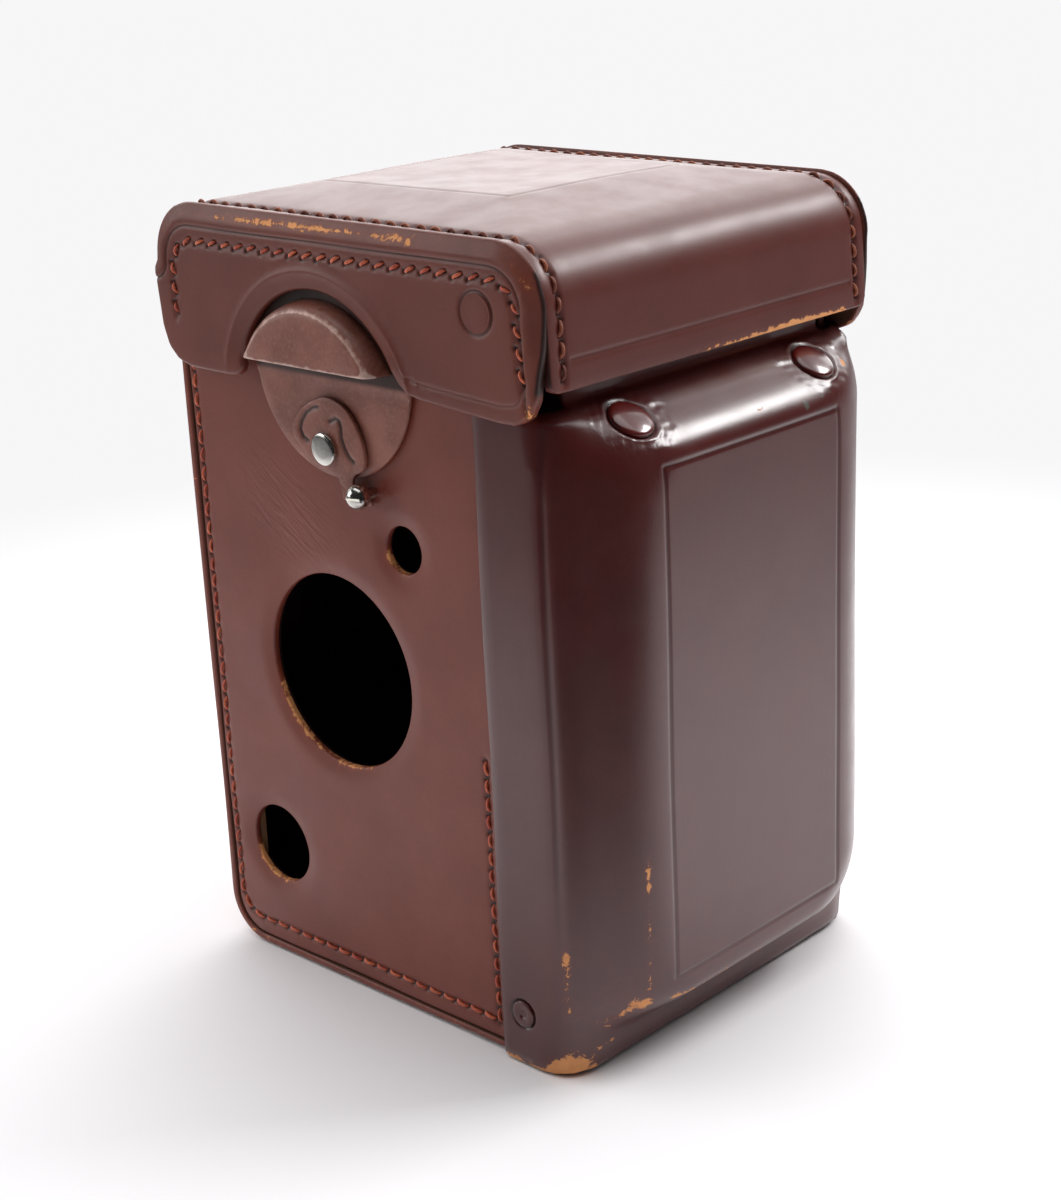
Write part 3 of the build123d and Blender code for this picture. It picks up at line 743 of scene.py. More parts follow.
def enamel_material(name):
    """Glossy oxblood lacquer on the rivet heads."""
    g = Graph(name)
    base = g.mix(g.ramp(g.noise(200, 3), 0.3, 0.7), colour(74, 13, 13), colour(92, 22, 20))
    base = g.mix(g.ramp(g.noise(2400, 3), 0.55, 0.8, 0, 0.3), base, colour(120, 70, 60))
    return g.finish(
        Base_Color=base,
        Roughness=0.28,
        Coat_Weight=0.7,
        Coat_Roughness=0.1,
        Normal=g.bump(g.noise(900, 4), 0.08, 0.05),
    )


side_leather = leather_material("side_leather", (112, 49, 35), (122, 55, 40), 0.45, 0.05, creases=0.12)
front_leather = leather_material("front_leather", (73, 20, 18), (80, 24, 21), 0.32, 0.5, 0.12, 0.1)
lid_leather = leather_material("lid_leather", (90, 36, 28), (95, 39, 31), 0.43, 0.1, grain=0.16, creases=0.06)
flap_leather = leather_material("flap_leather", (100, 43, 30), (109, 49, 35), 0.45, 0.04, creases=0.1)
raw_leather = leather_material("raw_leather", (118, 84, 58), (146, 106, 74), 0.7, 0.0, grain=0.5, creases=0.4)
board = leather_material("leather_board", (86, 62, 46), (108, 82, 62), 0.75, 0.0, grain=0.6, creases=0.3)
velvet = velvet_material("velvet", (22, 10, 9), (44, 20, 17))
red_thread = thread_material(
    "red_thread", (186, 72, 44), (222, 112, 68), (128, 40, 28), 0.55, (1, 0.5, 0.5), 0.62, 0.2
)
edge_thread = thread_material("edge_thread", (112, 50, 36), (176, 96, 62), (58, 26, 22), 0.6)
plate_paint = paint_material("plate_paint")
nickel = metal_material("nickel", (212, 210, 204), 0.16)
brass = metal_material("brass", (184, 148, 84), 0.3)
spring_steel = metal_material("spring_steel", (150, 148, 146), 0.3)
rivet_enamel = enamel_material("rivet_enamel")


# ---- case body -----------------------------------------------------------------------------
seam_inset = 1.7
rear_seam = panel_high[1] - seam_inset
low_seam = panel_low[2] + 3.9
front_seam = -25.2
body_lines = (
    open_line([(rear_seam, 127), (rear_seam, low_seam), (front_seam + 0.8, low_seam)], 6.0),
    Line([(front_seam, 60), (front_seam, low_seam - 1.0)]),
)
body_stitches = (
    body_lines[0].stitches(3.75, 3.3, 9),
    body_lines[1].stitches(3.55, 3.0, -8),
)


def seam_places(p, lines, stitches):
    """For each seam: the points near it, and their distances from it and from its closest stitch hole."""
    for line, ends in zip(lines, stitches):
        near = line.distance(p) < 3
        holes = ends.reshape(-1, 2)
        yield near, line.distance(p[near]), nearest(p[near], holes, holes + 1e-6)[0]


def seam_relief(p, lines, stitches, depth=0.28, hole=0.5):
    """A pressed channel along each seam, with a dent at each end of a stitch."""
    total = np.zeros(len(p))
    for near, away, gap in seam_places(p, lines, stitches):
        total[near] -= depth * bump(away, 0.85) + hole * bump(gap, 0.42)
    return total


def seam_dark(p, lines, stitches):
    """Painted shade in the stitch holes, and a little along the channel."""
    total = np.zeros(len(p))
    for near, away, gap in seam_places(p, lines, stitches):
        total[near] += 0.9 * bump(gap, 0.5) + 0.18 * bump(away, 0.7)
    return np.clip(total, 0, 1)


def seam_gap(p):
    """Where a side panel is cut finer: along its seams."""
    return np.min([line.distance(p) for line in body_lines], axis=0) - 0.9


def make_side_panel(name, side):
    loops = [box_outline(panel_low[1:], panel_high[1:], (3.0, 7.7, 2.0, 5.0))]
    holes = (focus_hole, shutter_hole, spool_hole) if side < 0 else ()
    loops += [circle(hole[:2], hole[2]) for hole in holes]

    def relief(p, q, d):
        lift = seam_relief(p, body_lines, body_stitches)
        lift += 0.12 * ripple(p, 38, 3) - 0.35 * ramp(-2.6, -0.2, d)
        for hole in holes:
            lift -= 0.3 * bump(beyond(p, hole), 2.2)
        return lift

    def marks(p, q, d):
        # Painted shade at the stitch holes and along the seams; the panel is also darker along its edge.
        dark = seam_dark(p, body_lines, body_stitches) + 0.35 * ramp(-0.5, 0.1, d)
        wear = np.zeros(len(p))
        for hole in holes:
            away = beyond(p, hole)
            angle = np.arctan2(p[:, 1] - hole[1], p[:, 0] - hole[0])
            lower = ramp(0.2, 0.9, np.cos(angle + math.radians(62)))
            wear += 0.56 * bump(away, 0.7) * lower
            dark = np.where(away < 1.2, dark * 0.3, dark)
        x = q[0, 0]
        stain = spots(q, [(x, -3.6, 107.0, 2.6, 0.9), (x, front_seam + 1.5, low_seam, 1.6, 0.8)])
        folds = spots(q, [(x, 30, 103, 9, 0.7), (x, 20, 95, 9, 0.7), (x, -14, 100, 8, 0.25)])
        limited = {"dark": dark, "stain": stain, "crease": folds}
        return {"wear": wear, **{key: np.clip(value, 0, 1) for key, value in limited.items()}}

    made = sheet(loops, side_surface(-1, panel_out), leather, relief, marks, 0.45, 1.3, seam_gap, 2)
    build(name, *outward_side(side, made)[:2], side_leather, "case_body", "leather_side", [name], made[2])


def make_side_thread(name, side):
    lowered = side_surface(-1, panel_out - 0.3)
    runs = [(lowered, ends) for ends in body_stitches]
    node = f"side_thread_{name}"
    obj = thread(f"stitches_side_{name}", runs, "case_body", "thread", [node], red_thread, 0.36)
    mirror_if_right(obj, side)


def mirror_if_right(obj, side):
    """Moves a left-hand mesh to the right."""
    if side > 0:
        obj.data.transform(Matrix.Diagonal((-1, 1, 1, 1)))
        obj.data.flip_normals()


def make_wrap():
    rear, top, radius = wrap_high[1], wrap_high[2], 10.0
    front = -21.9
    corner = rounded([(rear, top), (rear, 0), (front, 0)], (0, radius, 0))
    surface = bent_surface(corner)
    strip = front - wrap_low[1]
    inner = 39.9
    pressed_line = 39.6
    half = panel_out
    end = surface.length
    points = [
        (-half, 0),
        (half, 0),
        (half, end + strip),
        (inner, end + strip),
        (inner, end),
        (-inner, end),
        (-inner, end + strip),
        (-half, end + strip),
    ]
    outer = rounded(points, (1.5, 1.5, 0.7, 0.7, 0.0, 0.0, 0.7, 0.7))
    screw = end - (pivot("camera_screw_turn")[1] - front)
    loops = [outer, circle((0, screw), 9.0)]

    def from_line(p):
        return np.abs(np.abs(p[:, 0]) - pressed_line)

    def relief(p, q, d):
        return 0.25 * ripple(q, 60, 11) - 0.22 * bump(from_line(p), 0.5) - 0.3 * ramp(-1.6, 0, d) - 0.25

    def marks(p, q, d):
        wear = 0.33 * ramp(-1.2, 0.4, d) + 0.12 * bump(q[:, 2], 5) * ramp(38, 44, q[:, 1])
        # Painted shade along the pressed line.
        return {"wear": wear, "dark": 0.25 * bump(from_line(p), 0.4)}

    made = sheet(loops, surface, leather - 0.25, relief, marks, 0.5, 1.4, from_line, 1)
    nodes = ["back_bottom_wrap"]
    build("case_back_and_bottom", *made[:2], side_leather, "case_body", "leather_side", nodes, made[2])


# ---- front cover ---------------------------------------------------------------------------
face_front = -46.3
bulge_depth = face_front - cover_low[1]
flat_half, skirt_half = 31.1, 44.0
flat_low, flat_high = 13.0, 119.5
skirt_low, skirt_high = 7.6, 125.3
neck_front = -42.2
neck_half = 39.0
flange_rear = cover_high[1]
flange_top = 127.6
shoulder_foot, shoulder_rise = 117.0, 11.5
shoulder_head = shoulder_foot + shoulder_rise
slope_stretch = 1.75
slope_top = shoulder_foot + shoulder_rise * slope_stretch
corner_run = 5.2
flange_run = 16.0


def level(x, z):
    """0 on the edge of the bulge's flat, 1 at the foot of its flanks, below 0 further in."""
    low, high = np.full(len(x), -1.5), np.full(len(x), 3.0)
    for _ in range(24):
        e = (low + high) / 2
        half = flat_half + (skirt_half - flat_half) * e
        top = flat_high + (skirt_high - flat_high) * e
        bottom = flat_low + (skirt_low - flat_low) * e
        radius = np.where(z > 60, 8.0 + 1.0 * e, 12.0 + 2.0 * e)
        dx = np.abs(x) - half + radius
        dz = np.maximum(z - top, bottom - z) + radius
        outside = np.hypot(np.maximum(dx, 0), np.maximum(dz, 0)) + np.minimum(np.maximum(dx, dz), 0) - radius
        low, high = np.where(outside > 0, e, low), np.where(outside > 0, high, e)
    return (low + high) / 2


def cover_height(v):
    """Height for a distance measured up the cover: the shoulder is longer than it is high."""
    beyond_ends = 20.0
    knots = [-beyond_ends, shoulder_foot, slope_top, slope_top + beyond_ends]
    return np.interp(v, knots, [-beyond_ends, shoulder_foot, shoulder_head, shoulder_head + beyond_ends])


def cover_surface(p):
    """The front cover's outer face: p is the distance round from the middle and the distance up."""
    u, v = p[:, 0], p[:, 1]
    z = cover_height(v)
    side = np.sign(u) + (u == 0)
    reach = np.abs(u)
    radius = 3.6 + 5.0 * ramp(22, 2, z) + 3.0 * ramp(112, 126, z)
    flat = flange_out - 3.6
    turn = np.clip((reach - flat) / corner_run, 0, 1) * math.pi / 2
    x = np.minimum(reach, flat) / flat * (flange_out - radius) + radius * np.sin(turn)
    y = face_front + radius * (1 - np.cos(turn))
    back = np.clip(reach - flat - corner_run, 0, None) / flange_run
    y = y + back * (flange_rear - face_front - radius)
    slope_line = cover_low[1] + (z - flat_high) * bulge_depth / (skirt_high - flat_high)
    recede = soft_min(soft_max(slope_line, face_front, 0.8), neck_front, 0.8) - face_front
    y = y + recede * (1 - ramp(0, 1, back * 3)) * ramp(math.pi / 2, 0.6, turn)
    e = level(x, z)
    rise = soft_max(soft_min(1.0 - e, 1.0, 0.34 + 0.2 * ramp(100, 118, z)), 0.0, 0.2)
    rise = np.clip(rise, 0, None) * (turn < math.pi / 2)
    y = y - bulge_depth * np.minimum(rise, 1.0) * ramp(math.pi / 2, 0.5, turn)
    # The foot of the cover curls under and runs back as a lip.
    curl = 3.0 - 2.2 * ramp(0, 1, turn / (math.pi / 2))
    under = np.clip((curl - v) / curl, 0, math.pi / 2)
    low = v < curl
    inward = np.where(low, curl * (1 - np.cos(under)), 0) + np.clip(curl - v - curl * math.pi / 2, 0, None)
    z = np.where(low, curl - curl * np.sin(under), z)
    y = y + inward * np.cos(turn)
    x = x - inward * np.sin(turn)
    return np.stack([side * x, y, z], axis=1)


dome_height = 123.85
shoulder_tilt = 33.1
dome_spots = (-26.3, 26.3)
line_half, line_low, line_high = 25.4, 17.9, 116.0
shoulder_low = 112.0
flange_start = 43.0
groove_line = -43.6
hinge_rivet_ring = 2.85


def frame_line_gap(q):
    """Distance from the line that frames the bulge's flat, on the outer face."""
    dx = np.abs(q[:, 0]) - line_half
    dz = np.maximum(line_low - q[:, 2], q[:, 2] - line_high)
    outside = np.hypot(np.maximum(dx, 0), np.maximum(dz, 0))
    return np.abs(outside + np.minimum(np.maximum(dx, dz), 0))


def hinge_rivet_gap(q):
    """Distance from the middle of a flat hinge rivet; far away anywhere but on the flanges."""
    away = np.hypot(q[:, 1] - cover_pivot[1], q[:, 2] - cover_pivot[2])
    return away * np.where(np.abs(q[:, 0]) > flange_start, 1, 9)


def dome_gap(q):
    """Distance from the middle of the closer dome rivet."""
    along = (q[:, 2] - dome_height) * 1.83
    return np.min([np.hypot(q[:, 0] - x, along) for x in dome_spots], axis=0)


def cover_relief(p, q, d):
    x, y, z = q[:, 0], q[:, 1], q[:, 2]
    lift = 0.16 * ripple(q, 55, 21) - 0.15
    lift -= 0.3 * bump(frame_line_gap(q), 0.33) * (y < -50)
    gap = dome_gap(q)
    on_top = (z > shoulder_low) & (np.abs(x) < 37)
    lift -= on_top * (0.2 * bump(gap - 4.7, 0.4) + 0.5 * ramp(4.7, 4.2, gap))
    lift += on_top * 0.12 * bump(gap - 5.5, 0.5)
    creased = bump(gap - 7.5, 3.4) * on_top + 0.5 * bump(z - 121.5, 4.0) * (np.abs(x) < 34) * (y < -44)
    lift += 0.035 * creased * ripple(q * (1, 1.3, 1.3), 2.6, 23)
    lift -= 0.42 * bump(y - groove_line, 1.0) * (np.abs(x) > flange_start) * ramp(8, 40, z)
    rivet = hinge_rivet_gap(q) - hinge_rivet_ring
    lift -= 0.35 * bump(rivet, 0.3) + 0.35 * (rivet < 0)
    return lift - 0.25 * ramp(-1.4, 0, d)


def cover_marks(p, q, d):
    x, y, z = q[:, 0], q[:, 1], q[:, 2]
    wear = spots(
        q,
        [
            (-42.3, -44.0, 2.0, 4.6, 0.66),
            (-44.0, -42.0, 1.0, 4.5, 0.4),
            (-32.0, -52.0, 13.6, 3.4, 0.74),
            (-36.5, -49.5, 10.4, 2.6, 0.74),
            (-36, -49, 19, 5, 0.38),
            (34.5, -49.8, 122.3, 1.7, 0.7),
            (3, -53.6, 120.0, 2.0, 0.36),
        ],
    )
    wear += streaks(
        q,
        [
            ((-44.7, -29, 0), (-44.0, -41, 0.4), 1.7, 0.62),
            ((-31.4, -54.0, 39), (-31.4, -54.0, 44), 0.8, 0.66),
            ((-31.6, -54.0, 17), (-31.4, -54.0, 39), 1.0, 0.46),
            ((-44.0, -44.4, 13), (-44.0, -44.4, 27), 1.5, 0.5),
            ((-26, -54.0, 13.2), (2, -54.0, 12.8), 1.4, 0.54),
            ((-38, -46.3, 5.6), (-33, -46.3, 5.6), 0.7, 0.55),
            ((-40, -46.0, 0.6), (-26, -46.3, 0.8), 1.2, 0.42),
        ],
    )
    gap = dome_gap(q)
    # Painted shade: dark rings round the dome rivets and the flat hinge rivets, and dark in the framing line
    # and the flange groove.
    dark = 0.5 * bump(gap - 4.6, 0.35) * (z > shoulder_low)
    dark += 0.45 * bump(frame_line_gap(q), 0.3) * (y < -50)
    dark += 0.35 * bump(y - groove_line, 0.6) * (np.abs(x) > flange_start) * ramp(8, 50, z)
    dark += 0.9 * bump(hinge_rivet_gap(q) - hinge_rivet_ring, 0.28)
    scuffs = [(15.5, -54.8, 118.6, 1.8, 0.6), (21, -54.8, 119.2, 1.6, 0.62), (24, -54.6, 119.6, 1.5, 0.6)]
    scuff = spots(q, scuffs)
    crease = 0.16 * bump(gap - 8, 3.6) * (z > shoulder_low)
    crease += 0.14 * bump(z - 121.5, 3.5) * (np.abs(x) < 36) * (y < -44)
    return {"wear": wear, "dark": np.clip(dark, 0, 1), "scuff": scuff, "crease": crease}


def cover_fine(p):
    q = cover_surface(p)
    x, y, z = q[:, 0], q[:, 1], q[:, 2]
    lines = np.where(y < -50, frame_line_gap(q), 9)
    rivets = np.where((z > shoulder_low) & (y < -42), np.maximum(dome_gap(q) - 8, 0), 9)
    groove = np.where(np.abs(x) > flange_start, np.abs(y - groove_line), 9)
    flat_rivet = np.maximum(hinge_rivet_gap(q) - 3, 0)
    return np.minimum.reduce([lines, rivets, groove, flat_rivet]) - 0.3


def make_front_cover():
    round_to = flange_out - 3.6 + corner_run + flange_run
    top = slope_top + cover_high[2] - shoulder_head
    flange_high = np.interp(flange_top, [shoulder_foot, shoulder_head], [shoulder_foot, slope_top])
    lip_half = 39.7
    foot = 3.0 - 3.0 * math.pi / 2
    lip_end = foot - 8.0
    right = [(lip_half, lip_end), (lip_half, foot + 0.4), (round_to - 10, 0.0), (round_to, 0.0)]
    right += [(round_to, flange_high), (neck_half, flange_high), (neck_half, top)]
    radii = (1.5, 1.2, 4.0, 2.0, 2.5, 1.2, 2.0)
    left = [(-u, v) for u, v in reversed(right)]
    outer = rounded(left[-1:] + right + left[:-1], radii[:1] + radii + radii[:0:-1])
    made = sheet([outer], cover_surface, 1.6, cover_relief, cover_marks, 0.5, 1.5, cover_fine, 2)
    nodes = ["front_cover"]
    build("front_cover_shell", *made[:2], front_leather, "front_cover", "leather_front", nodes, made[2])


def make_cover_rivets():
    angle = math.radians(shoulder_tilt)
    axis = (0, -math.sin(angle), math.cos(angle))
    base = np.array((0, -48.4, dome_height))
    dome = [(4.3, -1.2), (4.35, -0.25), (4.25, 0.0)]
    dome += [(4.2 * math.cos(a), 0.02 + 0.62 * math.sin(a)) for a in np.linspace(0.2, math.pi / 2, 9)]
    pieces = [(base + (x, 0, 0) + np.array(axis) * 0.25, axis, dome) for x in dome_spots]
    turned("dome_rivet_heads", pieces, rivet_enamel, "front_cover", "rivet_brown", ["dome_rivets"])
    flat = [(2.6, -1.2), (2.62, -0.1), (2.5, 0.06), (2.0, 0.12)]
    flat += [(0.95, 0.1), (0.75, -0.12), (0.5, -0.2), (0.0, -0.22)]
    pins = []
    for _, side in SIDES:
        origin = (side * (flange_out - 0.05), cover_pivot[1], cover_pivot[2])
        pins.append((origin, (side, 0, 0), flat))
    turned("flat_hinge_rivets", pins, front_leather, "case_body", "rivet_brown", ["front_hinge_rivets"])


# ---- lid -------------------------------------------------------------------------------------
lid_front, lid_rear = lid_low[1], lid_high[1]
lid_foot = lid_low[2]
front_top, rear_top = 156.2, 157.0
roof_half, roof_front, roof_rear = 23.2, -18.7, 29.8
roof_top = lid_high[2]
roof_bend = 9.0
hip_width = lid_half - 2.5 - roof_half
hip_depth = roof_front - lid_front - roof_bend
edge_seam = 41.6
front_corners = [(lid_front, lid_foot), (lid_front + 1.3, front_top)]
rear_corners = [(lid_rear - 0.3, rear_top), (lid_rear - 0.1, lid_foot)]
lid_side = rounded(front_corners + rear_corners, (0, 11.0, 11.0, 0))
lid_plain = bent_surface(lid_side)


def roof_level(x, y):
    """0 on the flat panel of the roof, 1 at its outer edge."""
    across = (np.abs(x) - roof_half) / hip_width
    front = (roof_front - y) / hip_depth
    rear = (y - roof_rear) / (lid_rear - roof_rear - roof_bend)
    return np.maximum(across, np.maximum(front, rear))


def lid_surface(p):
    q = lid_plain(p)
    e = np.clip(roof_level(q[:, 0], q[:, 1]), 0, 1)
    high = ramp(151, 155.5, q[:, 2])
    q[:, 2] += high * (1 - e) * (roof_top - 0.1 - np.maximum(q[:, 2], front_top))
    return q


lid_lines = [Line([(x, 1.5), (x, lid_plain.length - 2.0)]) for x in (-edge_seam, edge_seam)]
lid_stitches = [line.stitches(3.7, 2.9, 10 * side) for line, side in zip(lid_lines, (-1, 1))]


def hem_gap(p):
    """Distance above the line pressed along the foot of each skirt."""
    return np.minimum(p[:, 1], lid_plain.length - p[:, 1]) - 5.2


def lid_relief(p, q, d):
    x, y, z = q[:, 0], q[:, 1], q[:, 2]
    lift = seam_relief(p, lid_lines, lid_stitches, 0.35, 0.45)
    lift += 0.14 * ripple(q, 48, 31) - 0.1
    e = roof_level(x, y)
    on_roof = (z > 153.5) & (np.abs(x) < lid_half - 3)
    lift -= on_roof * 0.2 * bump(e, 0.02)
    mitre = np.abs(x) - roof_half - (roof_front - y) * hip_width / hip_depth
    lift -= on_roof * 0.16 * bump(mitre, 0.5) * (y < roof_front) * ramp(1.05, 0.75, e)
    lift -= 0.25 * bump(hem_gap(p), 0.35) * (np.abs(x) < 40)
    return lift - 0.1 * ramp(-1.5, 0, d)


def lid_marks(p, q, d):
    x, y, z = q[:, 0], q[:, 1], q[:, 2]
    foot = p[:, 1]
    wear = 0.72 * bump(foot, 1.3) * (0.35 + 0.65 * ramp(-12, 4, x)) * ramp(44, 36, x)
    ridge = bump(np.abs(x) - lid_half, 0.8) * (z > 140)
    wear += ridge * (0.2 + 0.3 * bump(y - 8, 22))
    wear += spots(q, [(12, lid_front, 144, 1.0, 0.35), (-18, -38, 155.5, 2, 0.3)])
    # Painted shade at the stitch holes, along the roof panel's edge and in the pressed line above each foot;
    # the lid is also darker along its edges below the roof.
    dark = 0.8 * seam_dark(p, lid_lines, lid_stitches)
    dark += 0.7 * ramp(-0.5, 0.1, d) * (foot > 1) * (z < 154)
    e = roof_level(x, y)
    on_roof = (z > 153.5) & (np.abs(x) < lid_half - 3)
    dark += on_roof * 0.3 * bump(e, 0.018)
    dark += 0.22 * bump(hem_gap(p), 0.3) * (np.abs(x) < 40)
    return {"wear": wear, "dark": np.clip(dark, 0, 1)}


def lid_fine(p):
    q = lid_plain(p)
    e = np.abs(roof_level(q[:, 0], q[:, 1])) * 20
    e = np.where(q[:, 2] > 153, e, 9)
    seams = np.abs(np.abs(p[:, 0]) - edge_seam) - 0.7
    return np.minimum.reduce([e, np.abs(hem_gap(p)), seams])


def make_lid():
    outer = box_outline((-lid_half, 0), (lid_half, lid_plain.length), (2.0, 2.0, 2.0, 2.0))
    made = sheet([outer], lid_surface, leather, lid_relief, lid_marks, 0.3, 1.5, lid_fine, 2)
    build("lid_shell", *made[:2], lid_leather, "lid", "leather_lid", ["lid_wrap"], made[2])

    def lowered(p):
        return lid_surface(p) - 0.35 * surface_normal(lid_surface, p)

    for (name, _), ends in zip(SIDES, lid_stitches):
        thread(f"stitches_lid_edge_{name}", [(lowered, ends)], "lid", "thread", [], edge_thread, radius=0.4)


arch = (9.4, 121.65, 22.25)
corner_rivet = (-32.9, 144.2, 3.75)
rim_line = 3.9
flap_line = open_line([(48.2, 135), (48.2, 150.1), (-41.6, 150.1), (-42.8, 132.5)], 6.0)
flap_stitches = flap_line.stitches(3.85, 2.5, -26)
flap_seams = ([flap_line], [flap_stitches])


def flap_points():
    """The outline in order: along the top from front to rear, down, forward along the foot and the arch."""
    y, z, radius = arch
    rim = 0.35
    top = [(py, pz) for py, pz in lid_side if pz > 143.0]
    top = [(py + (rim if py > 0 else -rim) * (pz < 156), pz + rim * (pz >= 150)) for py, pz in top]
    rear = [(53.9, 140.0), (53.1, 133.0), (51.6, 129.0), (48.9, 126.5), (45.0, 125.5), (34.0, 125.3)]
    rear += [(31.4, 125.7), (30.0, 127.2)]
    low, high = math.radians(18.0), math.radians(154.5)
    cut = [(y + radius * math.cos(a), z + radius * math.sin(a)) for a in np.linspace(low, high, 30)]
    front = [(-12.6, 129.2), (-15.0, 127.7), (-18.5, 127.1), (-37.0, 125.7), (-41.0, 125.8), (-43.8, 127.3)]
    front += [(-45.6, 130.3), (-46.9, 139.0)]
    return np.array(top + rear + cut + front)


def flap_relief(p, q, d):
    y, z = p[:, 0], p[:, 1]
    lift = seam_relief(p, *flap_seams, 0.3, 0.5)
    lift += 0.12 * ripple(p, 34, 41) - 0.08
    top_gap = rim_gap(y, z)
    lift -= 0.34 * bump(top_gap - rim_line, 0.24)
    lift -= 1.3 * ramp(3.0, -0.2, top_gap) ** 2 - 0.12 * bump(top_gap - 2.6, 0.9)
    away = beyond(p, arch)
    upper = ramp(124, 131, z)
    arched = 0.3 * bump(away - 3.4, 0.6) - 0.32 * ramp(3.0, 0.4, away) + 0.14 * bump(away - 6.0, 0.35)
    lift += upper * arched
    rivet = beyond(p, corner_rivet)
    lift -= 0.34 * bump(rivet, 0.38) - 0.12 * ramp(-0.15, -2.75, rivet)
    lift -= 0.22 * bump(flap_crease.distance(p), 0.3)
    return lift - 0.2 * ramp(-1.2, 0, d)


def rim_gap(y, z):
    """Distance in from the flap's top and front edge."""
    rows = [(lid_front + 0.3, 128.0), (lid_front + 1.0, 144.0)]
    rows += [(py, pz) for py, pz in lid_side if pz > 144.0]
    return nearest(np.stack([y, z], axis=1), np.array(rows[:-1]), np.array(rows[1:]))[0]


flap_crease = open_line(
    [(-10.6, 134.4), (-14.6, 130.8), (-20.0, 130.0), (-37.5, 128.9), (-42.0, 129.4), (-43.4, 134.0)], 3.0
)


def flap_marks(p, q, d):
    y, z = p[:, 0], p[:, 1]
    top_gap = rim_gap(y, z)
    on_top = z > 149
    wear = on_top * bump(top_gap - 1.4, 1.2) * (0.36 + 0.3 * bump(y - 12, 17) + 0.18 * bump(y + 14, 9))
    wear += spots(q, [(q[0, 0], -43.5, 127.5, 2.2, 0.5), (q[0, 0], -43.8, 131, 2.0, 0.2)])
    # Painted shade at the stitch holes, in the rim line, the crease, round the corner rivet and the arch, and
    # in the gap at the front edge.
    dark = seam_dark(p, *flap_seams) + 0.7 * bump(top_gap - rim_line, 0.22)
    dark += 0.2 * bump(flap_crease.distance(p), 0.25)
    dark += 0.8 * ramp(-0.5, -0.1, d) * (y < -40) * (z > 131) * (z < 152)
    dark += 0.6 * bump(beyond(p, corner_rivet), 0.3)
    dark += 0.25 * bump(beyond(p, arch) - 5.4, 0.35) * ramp(124, 131, z)
    return {"wear": wear, "dark": np.clip(dark, 0, 1)}


def flap_fine(p):
    seam = flap_line.distance(p) - 0.8
    rivet = np.abs(beyond(p, corner_rivet)) - 0.3
    rim = np.abs(rim_gap(p[:, 0], p[:, 1]) - rim_line)
    return np.minimum.reduce([seam, rivet, rim, np.abs(beyond(p, arch) - 3.4), flap_crease.distance(p)])


def make_flap(name, side):
    thick = flap_high[0] - flap_low[0]
    outer = side_surface(-1, flap_out)
    made = sheet([flap_points()], outer, thick, flap_relief, flap_marks, 0.8, 1.2, flap_fine, 2, 0.1)
    node = f"lid_flap_{name}"
    made = outward_side(side, made)
    build(f"lid_side_{name}", *made[:2], flap_leather, "lid", "leather_lid", [node], made[2])
    lowered = side_surface(-1, flap_out - 0.35)
    node = f"lid_thread_{name}"
    runs = [(lowered, flap_stitches)]
    obj = thread(f"stitches_lid_side_{name}", runs, "lid", "thread", [node], red_thread, 0.32)
    mirror_if_right(obj, side)


# ---- latch -----------------------------------------------------------------------------------
plate_out = 44.15
disc = (8.4, 129.4, 20.9)
louvre = (10.2, 121.8, 20.2)
louvre_foot = 130.0
louvre_height = 5.0
lever_out = 45.45
plate_fold = Line([(28.4, 127.0), (9, 126.5), (-11.0, 126.0)])


def plate_relief(p, q, d):
    above = ramp(125.6, 127.0, p[:, 1])
    folded = 0.2 * bump(plate_fold.distance(p), 0.4)
    return 0.25 * above - folded - 0.25 * ramp(-1.3, 0, d) + 0.03 * ripple(p, 9, 51)


def plate_marks(p, q, d):
    fold = plate_fold.distance(p)
    wear = 0.5 * bump(d, 0.9) + 0.42 * bump(fold - 0.6, 0.4)
    # Painted shadow under the louvre's lip, and painted shade in the fold.
    shaded = 0.8 * ramp(127.1, 127.7, p[:, 1])
    zero = np.zeros(len(p))
    return {"wear": wear, "dark": shaded + 0.25 * bump(fold, 0.3), "rust": zero, "scuff": zero}


